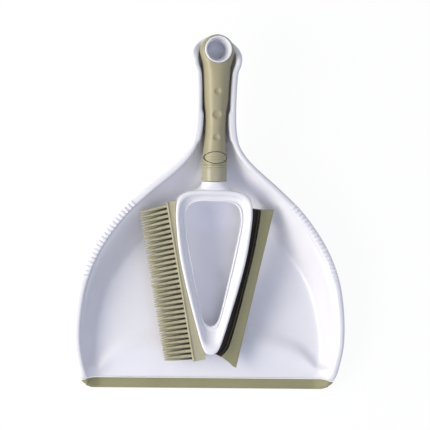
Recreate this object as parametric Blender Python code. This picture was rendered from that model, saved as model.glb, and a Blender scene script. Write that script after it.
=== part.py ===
"""Dustpan with a hand brush that rests in its channel handle.

The dustpan stands on Z = 0 with its handle towards +Y, and the origin is under its middle.
Its pieces are drawn from the lip: Y = 0 at the lip's front edge, in the frame of the empty
named dustpan. The brush is drawn in the frame of the empty brush_axis: +Y runs along the
brush from the head's tip to the hang eye, and +Z is the side with the button.
All sizes are in metres.
"""
import bpy
import bmesh
from math import atan, cos, hypot, pi, radians, sin, sqrt
from mathutils import Matrix, Vector

for existing in list(bpy.data.objects):
    bpy.data.objects.remove(existing, do_unlink=True)

# ---------------------------------------------------------------- driving dimensions

GAP = 0.0003                    # left between pieces that touch

# Brush axis: it climbs evenly from the lip to the hang eye
AXIS_HEIGHT = 0.014             # height of the axis above the floor at Y = 0
AXIS_SLOPE = 0.115
TILT = atan(AXIS_SLOPE)

# Dustpan
PAN_THICKNESS = 0.002
LIP_DEPTH = 0.009
LIP_HALF_WIDTH = 0.1138
LIP_PROFILE = [(0, 0), (0, 0.0007), (0.33, 0.0020), (1, 0.0023), (1, 0)]    # (part of the depth, thickness)
LIP_TAPER_FROM = 0.098
LIP_TIP = 0.86                  # part of the depth that the taper takes away at the tips
FRONT_EDGE = LIP_DEPTH + GAP
SIDE_OUTLINE = [                # (Y, half-width) of the rim's outer edge
    (FRONT_EDGE, 0.1142), (0.020, 0.1182), (0.041, 0.1222), (0.070, 0.1212), (0.099, 0.1166),
    (0.128, 0.1052), (0.157, 0.0848), (0.178, 0.0622), (0.200, 0.0368), (0.214, 0.0247),
    (0.228, 0.0199), (0.243, 0.0187), (0.262, 0.0188), (0.274, 0.0191), (0.2812, 0.0195),
]
BULB_CENTRE = 0.2927            # of the handle's round end
BULB_RADIUS = 0.0226
BULB_START = radians(-28)
BULB_DIP = 0.0158               # drop of the rim under the brush's overhanging eye
BULB_DIP_FROM, BULB_DIP_TO = radians(-5), radians(55)
PAN_LENGTH = BULB_CENTRE + BULB_RADIUS
NOSE_HEIGHT = 0.0062            # of the side walls where they meet the lip
NOSE_LEAD = 0.0025              # forward sweep of the shell's front corners
NOSE_INNER = 0.1015
NOSE_FADE = 0.016
RIM_WIDTH = [(FRONT_EDGE, 0.0060), (0.06, 0.0062), (0.10, 0.0075), (0.13, 0.0084), (0.175, 0.0084),
             (0.205, 0.0064), (0.225, 0.0056), (0.32, 0.0056)]
WALL_RUN = [(FRONT_EDGE, 0.0125), (0.02, 0.0140), (0.06, 0.018), (0.10, 0.022), (0.14, 0.026), (0.185, 0.024),
            (0.20, 0.0195), (0.215, 0.0125), (0.23, 0.0088), (0.32, 0.0088)]
WALL_POWER = [(FRONT_EDGE, 1.5), (0.10, 1.4), (0.185, 1.4), (0.22, 2.0), (0.32, 2.0)]
ROW_ARCH = [(FRONT_EDGE, 0.0), (0.0125, 0.014), (0.016, 0.027), (0.022, 0.031), (0.041, 0.027),
            (0.070, 0.015), (0.10, 0.006), (0.13, 0.0), (0.32, 0.0)]
RIM_ABOVE_AXIS = [(0.16, 0.002), (0.235, 0.005), (0.32, 0.005)]
RIM_ROUND = 0.0025              # radius of the rolled rim
RIM_DROP = 0.0060
NOSE_END = 0.041                # Y where the side walls reach full height
CREASE_Y = 0.043
CREASE_HEIGHT = 0.0065
BASIN_START = 0.060
BASIN_END = 0.135
CHANNEL_START = 0.215
CHANNEL_DEPTH = 0.0145          # of the channel's floor below the brush axis
LUG_START, LUG_END = 0.219, 0.244
LUG_STEP = 0.0016
LUG_RAMP = 0.002
COMB_FROM, COMB_TO = 0.099, 0.166
COMB_PITCH = 0.0041
COMB_RIB_WIDTH = 0.0020
COMB_RIB_HEIGHT = 0.0008

# Brush handle, in the brush frame
COLLAR_START = 0.1853
GRIP_START = 0.2000
GRIP_END = 0.3165
GRIP_HALF_WIDTH = [(0.2000, 0.0111), (0.206, 0.0110), (0.2115, 0.0106), (0.2245, 0.0094), (0.2335, 0.0091),
                   (0.2455, 0.0096), (0.2575, 0.0109), (0.2715, 0.0117), (0.283, 0.0123), (0.2895, 0.0129),
                   (0.295, 0.0144), (0.300, 0.01557)]
GRIP_HALF_HEIGHT = [(0.2000, 0.0111), (0.206, 0.0110), (0.2115, 0.0108), (0.2245, 0.0102), (0.2335, 0.0099),
                    (0.2455, 0.0102), (0.2575, 0.0109), (0.2715, 0.0113), (0.283, 0.0110), (0.295, 0.0102),
                    (0.304, 0.0096), (0.310, 0.0086), (0.3134, 0.0070), (0.3154, 0.0050), (0.3165, 0.0028)]
EYE_CENTRE = 0.3009             # of the round end in plan
EYE_RADIUS = 0.0156
LINER_CENTRE = 0.3027
LINER_RADIUS = 0.0120
LINER_BORE = 0.0105
LINER_TOP = 0.0108              # above the brush axis
LINER_FOOT = 0.0098             # below it
DIMPLES = [(0.2246, 0.0032), (0.2449, 0.00425), (0.2655, 0.0032)]      # (Y, radius)
DIMPLE_DEPTH = 0.0010
COLLAR_RADIUS = 0.0112
COLLAR_GROOVE = 0.1980
CORE_RADIUS = 0.0090
CORE_TUBE_END = 0.2180
CORE_SPINE = [(CORE_TUBE_END - 0.0005, 0.0084, 0.0084), (0.2250, 0.0077, 0.0077), (0.234, 0.0066, 0.0066),
              (0.245, 0.0062, 0.0062),
              (0.270, 0.0075, 0.0075), (0.2940, 0.0085, 0.0070)]       # (Y, half-width, half-height)

# Latch
SPIGOT_END = 0.2160
SPIGOT_HALF = (0.0044, 0.0034)
NOTCH = (0.2025, 0.2075)
NOTCH_DEPTH = 0.0016
BUTTON_CENTRE = 0.2066
BUTTON_HALF = (0.0097, 0.0050)
BUTTON_GAP = 0.0004
BUTTON_TRAVEL = 0.0018
BUTTON_TOP = 0.0113
BUTTON_WALL = 0.0018
BUTTON_RIB_PITCH = 0.0026
POCKET_FLOOR = 0.0070           # radius of the round that is left under the button
POCKET_LOW = 0.0016             # lowest height of the pocket, at its sides
POCKET_SPAN = (0.195, 0.221)    # past both ends of the pocket, along the brush
CLEAR_ABOVE = 0.0140            # height above every piece of the handle
CATCH_ROOM = (0.1965, 0.2180)   # space in the core's underside where the catch bends
ANCHOR_START = 0.2170           # of the slot that holds the catch's rear end
LEG_INNER, LEG_OUTER = 0.0049, 0.0060
LEG_HALF_LENGTH = 0.0022
LEG_TOP = 0.0088                # where the legs run into the cap
CATCH_HALF_WIDTH = 0.0056
CATCH_THICKNESS = 0.0007
CATCH_START, CATCH_END = 0.1985, 0.2250

# Brush head, in the brush frame
FRAME_EDGE = [                  # half outline of the frame, from the neck round to the tip
    (0.0, 0.1773), (0.0140, 0.1773), (0.0262, 0.1750), (0.0330, 0.1685), (0.0345, 0.1590),
    (0.0340, 0.1470), (0.0308, 0.1215), (0.0250, 0.0955), (0.0178, 0.0693), (0.0104, 0.0441),
    (0.0068, 0.0348), (0.0036, 0.0314), (0.0, 0.0306),
]
WINDOW_EDGE = [                 # half outline of the opening, point for point with the frame's
    (0.0, 0.1674), (0.0105, 0.1673), (0.0185, 0.1655), (0.0232, 0.1608), (0.0250, 0.1530),
    (0.0244, 0.1440), (0.0203, 0.1224), (0.0164, 0.1030), (0.0127, 0.0850), (0.0092, 0.0690),
    (0.0069, 0.0615), (0.0038, 0.0572), (0.0, 0.0558),
]
FRAME_HALF_HEIGHT = 0.0085
NECK = [(0.1755, 0.0200, 0.0066), (0.1772, 0.0180, 0.0070), (0.1783, 0.0158, 0.0076), (0.1800, 0.0136, 0.0086),
        (0.1824, 0.0119, 0.0100), (0.1848, 0.0111, 0.0111)]
BAR_HALF_HEIGHT = 0.0063
BEAD_HEIGHT = 0.0008
RIDGE_TOP = (-0.0432, 0.1656)
RIDGE_FOOT = (-0.0159, 0.0243)
BAR_WIDTH = 0.0118
BRISTLE_ROWS = 4
BRISTLES_PER_ROW = 31
BRISTLE_LENGTH = 0.0250
BRISTLE_MARGIN = 0.0030         # from the bar's ends to the first and last roots
BRISTLE_BURIED = 0.0010         # of each root in the bar
BRISTLE_ROOT = 0.00150
BRISTLE_TIP = 0.00045
BRISTLE_SIDES = 5
BRISTLE_FAN = radians(5)
SQUEEGEE_RIDGE = [(0.0416, 0.1612), (0.0400, 0.1470), (0.0352, 0.1180), (0.0296, 0.0930),
                  (0.0240, 0.0690), (0.0176, 0.0450), (0.0148, 0.0365), (0.0100, 0.0310)]
SQUEEGEE_EDGE_TOP = (0.0549, 0.1612)
SQUEEGEE_TOE = (0.0238, 0.0186)
TOE_CUT_CENTRE = (0.0065, 0.0146)
TOE_CUT_RADIUS = 0.0138

# ---------------------------------------------------------------- helpers


def smoothstep(t):
    t = min(1.0, max(0.0, t))
    return t * t * (3 - 2 * t)


def table(knots, at):
    """Value and slope of a smooth curve through (place, value) knots, flat beyond the ends."""
    if at <= knots[0][0]:
        return knots[0][1], 0.0
    if at >= knots[-1][0]:
        return knots[-1][1], 0.0
    index = max(i for i in range(len(knots) - 1) if knots[i][0] <= at)

    def knot_slope(i):
        before, after = knots[max(i - 1, 0)], knots[min(i + 1, len(knots) - 1)]
        return (after[1] - before[1]) / (after[0] - before[0])

    (x0, v0), (x1, v1) = knots[index], knots[index + 1]
    span = x1 - x0
    t = (at - x0) / span
    m0, m1 = knot_slope(index) * span, knot_slope(index + 1) * span
    value = ((2 * t**3 - 3 * t**2 + 1) * v0 + (t**3 - 2 * t**2 + t) * m0
             + (-2 * t**3 + 3 * t**2) * v1 + (t**3 - t**2) * m1)
    slope = ((6 * t**2 - 6 * t) * v0 + (3 * t**2 - 4 * t + 1) * m0
             + (-6 * t**2 + 6 * t) * v1 + (3 * t**2 - 2 * t) * m1) / span
    return value, slope


def level(knots, at):
    return table(knots, at)[0]


def axis_height(y):
    """Height of the brush axis above the floor."""
    return AXIS_HEIGHT + AXIS_SLOPE * y


def rim_line(y):
    """Height of the rim beyond the nose."""
    return axis_height(y) + level(RIM_ABOVE_AXIS, y)


def finish_mesh(name, bm):
    bmesh.ops.remove_doubles(bm, verts=bm.verts, dist=1e-6)
    bmesh.ops.recalc_face_normals(bm, faces=bm.faces)
    mesh = bpy.data.meshes.new(name)
    bm.to_mesh(mesh)
    bm.free()
    return mesh


def add_object(name, bm, material=None, parent=None, location=(0, 0, 0), sharp=35):
    """A named object in the scene. Its mesh is given round the object's own origin."""
    mesh = finish_mesh(name, bm)
    mesh.shade_smooth()
    mesh.set_sharp_from_angle(angle=radians(sharp))
    ob = bpy.data.objects.new(name, mesh)
    bpy.context.collection.objects.link(ob)
    ob.location = location
    if material:
        mesh.materials.append(material)
    if parent:
        ob.parent = parent
    return ob


def add_empty(name, location, tilt=0.0, parent=None):
    ob = bpy.data.objects.new(name, None)
    bpy.context.collection.objects.link(ob)
    ob.empty_display_size = 0.02
    ob.location = location
    ob.rotation_euler = (tilt, 0, 0)
    ob.parent = parent
    return ob


def boolean(target, tool, operation="DIFFERENCE"):
    """Combine target with a tool body, which stays in the scene as a hidden guide."""
    tool.hide_render = True
    tool.display_type = "WIRE"
    modifier = target.modifiers.new(tool.name, "BOOLEAN")
    modifier.object = tool
    modifier.operation = operation
    modifier.solver = "EXACT"


def loft(rings, close_ends=True):
    """Skin closed rings of equal point count, in order."""
    bm = bmesh.new()
    rows = [[bm.verts.new(point) for point in ring] for ring in rings]
    for row, following in zip(rows, rows[1:]):
        for i in range(len(row)):
            j = (i + 1) % len(row)
            bm.faces.new((row[i], row[j], following[j], following[i]))
    if close_ends:
        bm.faces.new(rows[0])
        bm.faces.new(rows[-1])
    return bm


def ring_of_rings(sections):
    """Skin closed sections into a closed loop, such as a frame round an opening."""
    bm = bmesh.new()
    rows = [[bm.verts.new(point) for point in section] for section in sections]
    for k, row in enumerate(rows):
        following = rows[(k + 1) % len(rows)]
        for i in range(len(row)):
            j = (i + 1) % len(row)
            bm.faces.new((row[i], row[j], following[j], following[i]))
    return bm


def prism(outline, low, high):
    """Extrude a plan outline of (x, y) points between two heights."""
    return loft([[Vector((x, y, low)) for x, y in outline], [Vector((x, y, high)) for x, y in outline]])


def box(low, high):
    return prism([(low[0], low[1]), (high[0], low[1]), (high[0], high[1]), (low[0], high[1])],
                 low[2], high[2])


def turned_ring(profile, sides=28):
    """Turn a closed section of (y, radius) points about the Y axis."""
    sections = []
    for k in range(sides):
        a = 2 * pi * k / sides
        sections.append([Vector((r * sin(a), y, r * cos(a))) for y, r in profile])
    return ring_of_rings(sections)


def turned_plug(profile, sides=28):
    """Turn an open line of (y, radius) points about the Y axis and close its two ends."""
    angles = [2 * pi * k / sides for k in range(sides)]
    return loft([[Vector((r * sin(a), y, r * cos(a))) for a in angles] for y, r in profile])


def oval_section(y, half_width, half_height, sides, power=2.0):
    """A ring across the brush at y, in a plane square to the brush axis."""
    points = []
    for k in range(sides):
        a = 2 * pi * (k + 0.5) / sides
        c, s = cos(a), sin(a)
        x = half_width * abs(c) ** (2 / power) * (1 if c > 0 else -1)
        z = half_height * abs(s) ** (2 / power) * (1 if s > 0 else -1)
        points.append(Vector((x, y, z)))
    return points


def smooth_loop(half_outline, per_span=2):
    """A closed loop through a half outline and its mirror image, by Catmull-Rom spans."""
    right = [Vector((x, y, 0)) for x, y in half_outline]
    left = [Vector((-p.x, p.y, 0)) for p in reversed(right[1:-1])]
    points = right + left
    loop = []
    count = len(points)
    for i in range(count):
        p0, p1, p2, p3 = (points[(i + k) % count] for k in (-1, 0, 1, 2))
        for step in range(per_span):
            t = step / per_span
            loop.append(0.5 * (2 * p1 + (p2 - p0) * t + (2 * p0 - 5 * p1 + 4 * p2 - p3) * t**2
                               + (3 * p1 - p0 - 3 * p2 + p3) * t**3))
    return loop


def grown(loop, margin):
    """The loop moved outwards by a margin, as (x, y) points."""
    centre = sum(loop, Vector()) / len(loop)
    points = []
    for i, point in enumerate(loop):
        along = (loop[(i + 1) % len(loop)] - loop[i - 1]).normalized()
        normal = Vector((along.y, -along.x, 0))
        if normal.dot(point - centre) < 0:
            normal.negate()
        moved = point + margin * normal
        points.append((moved.x, moved.y))
    return points


# ---------------------------------------------------------------- materials


def make_material(name, color, roughness, metallic=0.0):
    material = bpy.data.materials.new(name)
    material.use_nodes = True
    shader = material.node_tree.nodes["Principled BSDF"]
    shader.inputs["Base Color"].default_value = (*color, 1)
    shader.inputs["Roughness"].default_value = roughness
    shader.inputs["Metallic"].default_value = metallic
    return material


WHITE = (0.86, 0.86, 0.90)
SAGE = (0.46, 0.43, 0.29)
shell_white = make_material("shell_white", WHITE, 0.30)
lip_rubber = make_material("lip_rubber", SAGE, 0.55)
core_white = make_material("core_white", WHITE, 0.30)
grip_rubber = make_material("grip_rubber", SAGE, 0.60)
collar_sage = make_material("collar_sage", SAGE, 0.45)
button_sage = make_material("button_sage", SAGE, 0.50)
spring_steel = make_material("spring_steel", (0.6, 0.6, 0.62), 0.30, 1.0)
frame_white = make_material("frame_white", WHITE, 0.28)
bristle_rubber = make_material("bristle_rubber", SAGE, 0.55)
squeegee_rubber = make_material("squeegee_rubber", SAGE, 0.55)

# ---------------------------------------------------------------- dustpan


def side_station(y):
    """Point and outward direction on the rim's outer edge, along the right side."""
    half_width, slope = table(SIDE_OUTLINE, y)
    turn = smoothstep(y / NOSE_END)
    return Vector((half_width, y, 0)), Vector((1, -slope * turn, 0)).normalized()


def bulb_station(angle):
    """The same, on the round end of the handle."""
    outward = Vector((cos(angle), sin(angle), 0))
    if angle >= pi / 2:
        outward = Vector((0, 1, 0))
    return Vector((0, BULB_CENTRE, 0)) + BULB_RADIUS * outward, outward


def floor_height(y):
    """Height of the floor's upper face on the centre line."""
    if y < CREASE_Y:
        rise = (y - FRONT_EDGE) / (CREASE_Y - FRONT_EDGE)
        return PAN_THICKNESS + (CREASE_HEIGHT - PAN_THICKNESS) * rise
    if y < BASIN_START:
        fall = smoothstep((y - CREASE_Y) / (BASIN_START - CREASE_Y))
        return CREASE_HEIGHT + (PAN_THICKNESS - CREASE_HEIGHT) * fall
    if y < BASIN_END:
        return PAN_THICKNESS
    rise = smoothstep((y - BASIN_END) / (CHANNEL_START - BASIN_END))
    return PAN_THICKNESS + (axis_height(y) - CHANNEL_DEPTH - PAN_THICKNESS) * rise


def rim_height(y, floor):
    """Top of the rim. Towards the lip it falls in a quarter ellipse to the nose."""
    full = rim_line(y)
    if y >= NOSE_END:
        return full
    reach = (NOSE_END - y) / (NOSE_END - FRONT_EDGE)
    nose = floor + NOSE_HEIGHT
    return nose + (full - nose) * sqrt(max(0.0, 1 - reach**2))


def nose_lead(x):
    """How far the shell's front edge sweeps forward towards its corners."""
    return NOSE_LEAD * smoothstep((abs(x) - NOSE_INNER) / (LIP_HALF_WIDTH - NOSE_INNER))


def lug_step(y):
    """Inward step of the channel's wall at the clip lugs."""
    return LUG_STEP * (smoothstep((y - LUG_START) / LUG_RAMP) - smoothstep((y - LUG_END) / LUG_RAMP))


FLOOR_COLUMNS = 4
WALL_COLUMNS = 4
BULB_TURNS = 10


def pan_section(point, outward, dip=0.0):
    """Points across half of the pan's upper face, from the centre line to the rim's outer edge."""
    rim = level(RIM_WIDTH, point.y) + lug_step(point.y)
    run = level(WALL_RUN, point.y) - lug_step(point.y)
    foot = point - (rim + run) * outward
    arch = level(ROW_ARCH, point.y)
    floor = floor_height(foot.y + arch)
    points = []
    for k in range(FLOOR_COLUMNS):
        across = k / FLOOR_COLUMNS
        points.append(Vector((foot.x * across, foot.y + arch * sqrt(1 - across**2), floor)))
    rim_top = rim_height(point.y, floor) - dip
    scale = (rim_top - floor) / (rim_line(point.y) - floor)
    drop = RIM_ROUND * scale
    power = level(WALL_POWER, point.y)
    for k in range(WALL_COLUMNS):
        across = sin(pi / 2 * k / WALL_COLUMNS)
        climb = 1 - (1 - across**power) ** (1 / power)
        place = foot + run * across * outward
        points.append(Vector((place.x, place.y, floor + (rim_top - drop - floor) * climb)))
    corner = 1 - cos(radians(45))
    for inset, down in ((rim, 1), (rim - corner * RIM_ROUND, corner), (rim - RIM_ROUND, 0),
                        (RIM_ROUND, 0), (corner * RIM_ROUND, corner), (0, 1)):
        place = point - inset * outward
        points.append(Vector((place.x, place.y, rim_top - down * drop)))
    points.append(Vector((point.x, point.y, rim_top - drop - (RIM_DROP - RIM_ROUND) * scale)))
    fade = 1 - smoothstep((point.y - FRONT_EDGE) / NOSE_FADE)
    for place in points:
        place.y -= nose_lead(place.x) * fade
    return points


def pan_stations():
    """Rim stations from the lip to the end of the handle."""
    places = [FRONT_EDGE, 0.0105, 0.0125, 0.016, 0.019, 0.023, 0.028, 0.034, NOSE_END, 0.052, 0.064,
              0.077, 0.090, 0.103, 0.116, 0.129, 0.142, 0.155, 0.167, 0.178, 0.188, 0.197, 0.206,
              0.2135, LUG_START, LUG_START + LUG_RAMP, LUG_END, LUG_END + LUG_RAMP, 0.258, 0.272, 0.280]
    stations = [(*side_station(y), 0.0) for y in places]
    for k in range(BULB_TURNS + 1):
        angle = BULB_START + (pi / 2 - BULB_START) * k / BULB_TURNS
        dip = BULB_DIP * smoothstep((angle - BULB_DIP_FROM) / (BULB_DIP_TO - BULB_DIP_FROM))
        stations.append((*bulb_station(angle), dip))
    return stations


def comb_ribs():
    """Short bars across the rim of one shoulder, at an even pitch along its edge."""
    bm = bmesh.new()
    y = COMB_FROM
    while y <= COMB_TO:
        point, outward = side_station(y)
        point.z = rim_height(y, 0)
        up = Vector((0, -AXIS_SLOPE, 1)).normalized()
        along = outward.cross(up).normalized()
        width = level(RIM_WIDTH, y)
        buried = -COMB_RIB_HEIGHT
        profile = [(-0.0005, -0.0045), (-0.0005, -0.0012), (0.0009, COMB_RIB_HEIGHT),
                   (width - 0.0024, COMB_RIB_HEIGHT), (width - 0.0013, buried), (0.0012, buried),
                   (0.0012, -0.0045)]
        rows = []
        for side in (-0.5, 0.5):
            base = point + side * COMB_RIB_WIDTH * along
            rows.append([bm.verts.new(base - inset * outward + height * up) for inset, height in profile])
        bm.faces.new(rows[0])
        bm.faces.new(rows[1])
        for i in range(len(profile)):
            j = (i + 1) % len(profile)
            bm.faces.new((rows[0][i], rows[0][j], rows[1][j], rows[1][i]))
        slope = table(SIDE_OUTLINE, y)[1]
        y += COMB_PITCH / hypot(1, slope)
    return bm


dustpan = add_empty("dustpan", (0, -PAN_LENGTH / 2, 0))


def mirror_across_x(ob, merge):
    modifier = ob.modifiers.new("mirror", "MIRROR")
    modifier.use_axis = (True, False, False)
    modifier.use_mirror_merge = merge
    modifier.merge_threshold = 0.00005


def build_pan():
    bm = bmesh.new()
    rows = [[bm.verts.new(p) for p in pan_section(*station)] for station in pan_stations()]
    for row, following in zip(rows, rows[1:]):
        for i in range(len(row) - 1):
            bm.faces.new((row[i], row[i + 1], following[i + 1], following[i]))
    bmesh.ops.remove_doubles(bm, verts=bm.verts, dist=1e-6)
    bmesh.ops.dissolve_degenerate(bm, edges=bm.edges, dist=1e-6)
    pan = add_object("pan_shell", bm, shell_white, dustpan)
    mirror_across_x(pan, merge=True)
    wall = pan.modifiers.new("wall", "SOLIDIFY")
    wall.thickness = PAN_THICKNESS
    wall.offset = -1
    wall.use_even_offset = True
    ribs = add_object("comb_rib_tool", comb_ribs(), None, dustpan)
    mirror_across_x(ribs, merge=False)
    boolean(pan, ribs, "UNION")
    return pan


def build_lip():
    """Rubber strip along the shell's front section, whose ends turn up and taper to points."""
    half = pan_section(*side_station(FRONT_EDGE))[:-1]
    half = [Vector((min(p.x, LIP_HALF_WIDTH), 0, p.z)) for p in half]
    line = [Vector((-p.x, 0, p.z)) for p in reversed(half[1:])] + half
    rings = []
    for i, place in enumerate(line):
        along = (line[min(i + 1, len(line) - 1)] - line[max(i - 1, 0)]).normalized()
        up = Vector((-along.z, 0, along.x))
        low = place - up * PAN_THICKNESS
        rear = LIP_DEPTH - nose_lead(place.x)
        taper = smoothstep((abs(place.x) - LIP_TAPER_FROM) / (LIP_HALF_WIDTH - LIP_TAPER_FROM))
        front = rear * LIP_TIP * taper
        rings.append([Vector((low.x, front + (rear - front) * part, low.z)) + up * thick
                      for part, thick in LIP_PROFILE])
    return add_object("lip_strip", loft(rings), lip_rubber, dustpan)


pan_shell = build_pan()
lip_strip = build_lip()

# ---------------------------------------------------------------- brush handle

brush_axis = add_empty("brush_axis", (0, -PAN_LENGTH / 2, AXIS_HEIGHT), TILT)


def grip_half_width(y):
    if y <= GRIP_HALF_WIDTH[-1][0]:
        return level(GRIP_HALF_WIDTH, y)
    return sqrt(max(EYE_RADIUS**2 - (y - EYE_CENTRE) ** 2, 0.0022**2))


def grip_section(y, margin=0.0):
    eye = smoothstep((y - 0.280) / 0.020)
    return oval_section(y, grip_half_width(y) + margin, level(GRIP_HALF_HEIGHT, y) + margin,
                        24, 2.0 + 0.5 * eye)


def core_tube(margin, start):
    """Round tube or plug over the socket."""
    return turned_plug([(start, CORE_RADIUS + margin), (CORE_TUBE_END + margin, CORE_RADIUS + margin)])


def core_spine(margin):
    return loft([oval_section(y, w + margin, h + margin, 20) for y, w, h in CORE_SPINE])


def liner_disc(radius, foot, top, sides=32, round_edge=0.0006):
    """Upright disc round the hang eye."""
    rings = []
    for r, z in ((radius - round_edge, -foot), (radius, -foot + round_edge),
                 (radius, top - round_edge), (radius - round_edge, top)):
        rings.append([Vector((r * cos(2 * pi * k / sides), LINER_CENTRE + r * sin(2 * pi * k / sides), z))
                      for k in range(sides)])
    return loft(rings)


def oval_prism(grow, low, high, sides=28):
    """Upright oval column where the button stands."""
    outline = [((BUTTON_HALF[0] + grow) * cos(2 * pi * k / sides),
                (BUTTON_HALF[1] + grow) * sin(2 * pi * k / sides) + BUTTON_CENTRE) for k in range(sides)]
    return prism(outline, low, high)


def tool(name, bm):
    """A hidden tool body in the brush frame."""
    return add_object(name, bm, None, brush_axis)


socket_plug_tool = tool("socket_plug_tool", core_tube(GAP, GRIP_START - 0.002))
spine_tool = tool("spine_tool", core_spine(GAP))
liner_tool = tool("liner_tool", liner_disc(LINER_RADIUS + GAP, CLEAR_ABOVE, CLEAR_ABOVE))
pocket_tool = tool("pocket_tool", oval_prism(BUTTON_GAP, POCKET_LOW, CLEAR_ABOVE))
pocket_core_tool = tool("pocket_core_tool", turned_plug([(y, POCKET_FLOOR) for y in POCKET_SPAN]))
boolean(pocket_tool, pocket_core_tool)


def build_grip():
    stations = [GRIP_START, 0.2045, 0.2095, 0.2145, 0.2200, 0.2260, 0.2320, 0.2390, 0.2470, 0.2550, 0.2630,
                0.2710, 0.2790, 0.2850, 0.2905, 0.2955, 0.3000, 0.3045, 0.3085, 0.3118, 0.3142, 0.3157,
                GRIP_END]
    grip = add_object("grip_sleeve", loft([grip_section(y) for y in stations]), grip_rubber, brush_axis)
    boolean(grip, socket_plug_tool)
    boolean(grip, spine_tool)
    boolean(grip, liner_tool)
    boolean(grip, pocket_tool)
    for k, (y, radius) in enumerate(DIMPLES):
        ball_radius = (radius**2 + DIMPLE_DEPTH**2) / (2 * DIMPLE_DEPTH)
        bm = bmesh.new()
        bmesh.ops.create_icosphere(bm, subdivisions=3, radius=ball_radius)
        surface = level(GRIP_HALF_HEIGHT, y)
        bmesh.ops.translate(bm, verts=bm.verts, vec=(0, y, surface - DIMPLE_DEPTH + ball_radius))
        boolean(grip, tool(f"dimple_tool_{k + 1}", bm))
    return grip


def build_collar():
    inner = CORE_RADIUS + GAP
    profile = [(COLLAR_START, inner), (COLLAR_START, COLLAR_RADIUS - 0.0005),
               (COLLAR_START + 0.0006, COLLAR_RADIUS), (COLLAR_GROOVE - 0.0005, COLLAR_RADIUS),
               (COLLAR_GROOVE - 0.0002, COLLAR_RADIUS - 0.0004), (COLLAR_GROOVE + 0.0002, COLLAR_RADIUS - 0.0004),
               (COLLAR_GROOVE + 0.0005, COLLAR_RADIUS), (GRIP_START - 0.0008, COLLAR_RADIUS),
               (GRIP_START - GAP, COLLAR_RADIUS - 0.0004), (GRIP_START - GAP, inner)]
    return add_object("socket_collar", turned_ring(profile), collar_sage, brush_axis)


def build_core():
    core = add_object("handle_core", core_tube(0.0, COLLAR_START + GAP), core_white, brush_axis)
    boolean(core, tool("spine_body", core_spine(0.0)), "UNION")
    boolean(core, tool("liner_body", liner_disc(LINER_RADIUS, LINER_FOOT, LINER_TOP)), "UNION")
    boolean(core, tool("liner_bore_tool", liner_disc(LINER_BORE, CLEAR_ABOVE, CLEAR_ABOVE)))
    half_width, half_height = SPIGOT_HALF
    bore = box((-half_width - GAP, COLLAR_START, -half_height - GAP),
               (half_width + GAP, SPIGOT_END + GAP, half_height + GAP))
    boolean(core, tool("socket_bore_tool", bore))
    boolean(core, pocket_tool)
    for side in (-1, 1):
        x0, x1 = sorted((side * (LEG_INNER - GAP), side * (LEG_OUTER + GAP)))
        slot = box((x0, BUTTON_CENTRE - LEG_HALF_LENGTH - GAP, -LEG_OUTER),
                   (x1, BUTTON_CENTRE + LEG_HALF_LENGTH + GAP, CLEAR_ABOVE))
        boolean(core, tool(f"leg_slot_tool_{'left' if side < 0 else 'right'}", slot))
    catch_room = box((-CATCH_HALF_WIDTH - GAP, CATCH_ROOM[0], -CLEAR_ABOVE),
                     (CATCH_HALF_WIDTH + GAP, CATCH_ROOM[1], -half_height))
    boolean(core, tool("catch_room_tool", catch_room))
    top = -half_height - GAP
    anchor = box((-CATCH_HALF_WIDTH - GAP, ANCHOR_START, top - CATCH_THICKNESS - 2 * GAP),
                 (CATCH_HALF_WIDTH + GAP, CATCH_END + GAP, top))
    boolean(core, tool("anchor_slot_tool", anchor))
    return core


def build_button():
    """Oval cap that follows the grip's round, with ribs across it and two legs down to the catch."""
    cap_profile = [(POCKET_SPAN[0], BUTTON_TOP)]
    for k in (-1, 0, 1):
        middle = BUTTON_CENTRE + k * BUTTON_RIB_PITCH
        cap_profile += [(middle - 0.0006, BUTTON_TOP), (middle - 0.0003, BUTTON_TOP + 0.0004),
                        (middle + 0.0003, BUTTON_TOP + 0.0004), (middle + 0.0006, BUTTON_TOP)]
    cap_profile += [(POCKET_SPAN[1], BUTTON_TOP)]
    skin = turned_plug(cap_profile, 40)
    skin.transform(Matrix.Translation((0, -BUTTON_CENTRE, 0)))
    cap = add_object("release_button", skin, button_sage, brush_axis, (0, BUTTON_CENTRE, 0))
    skirt = POCKET_LOW + BUTTON_TRAVEL + 0.0008
    boolean(cap, tool("button_outline_tool", oval_prism(0.0, skirt, CLEAR_ABOVE)), "INTERSECT")
    inner = BUTTON_TOP - BUTTON_WALL
    boolean(cap, tool("button_hollow_tool", turned_plug([(y, inner) for y in POCKET_SPAN], 40)))
    foot = -SPIGOT_HALF[1] - GAP + 0.0001
    for side in (-1, 1):
        x0, x1 = sorted((side * LEG_INNER, side * LEG_OUTER))
        leg = box((x0, BUTTON_CENTRE - LEG_HALF_LENGTH, foot), (x1, BUTTON_CENTRE + LEG_HALF_LENGTH, LEG_TOP))
        boolean(cap, tool(f"leg_{'left' if side < 0 else 'right'}", leg), "UNION")
    return cap


def build_catch():
    """Flat spring under the spigot, held at its rear, with a wedge that stands in the spigot's notch."""
    top = -SPIGOT_HALF[1] - 2 * GAP
    leaf = box((-CATCH_HALF_WIDTH, CATCH_START, top - CATCH_THICKNESS), (CATCH_HALF_WIDTH, CATCH_END, top))
    catch = add_object("catch_spring", leaf, spring_steel, brush_axis)
    wedge_half = SPIGOT_HALF[0] - 0.0006
    profile = [(NOTCH[0] + GAP, top - 0.0003), (NOTCH[0] + GAP, top + NOTCH_DEPTH),
               (NOTCH[0] + GAP + 0.0012, top + NOTCH_DEPTH), (NOTCH[1] - GAP, top - 0.0003)]
    wedge = loft([[Vector((x, y, z)) for y, z in profile] for x in (-wedge_half, wedge_half)])
    boolean(catch, tool("wedge_body", wedge), "UNION")
    return catch


grip_sleeve = build_grip()
socket_collar = build_collar()
handle_core = build_core()
release_button = build_button()
catch_spring = build_catch()

# ---------------------------------------------------------------- brush head

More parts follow.
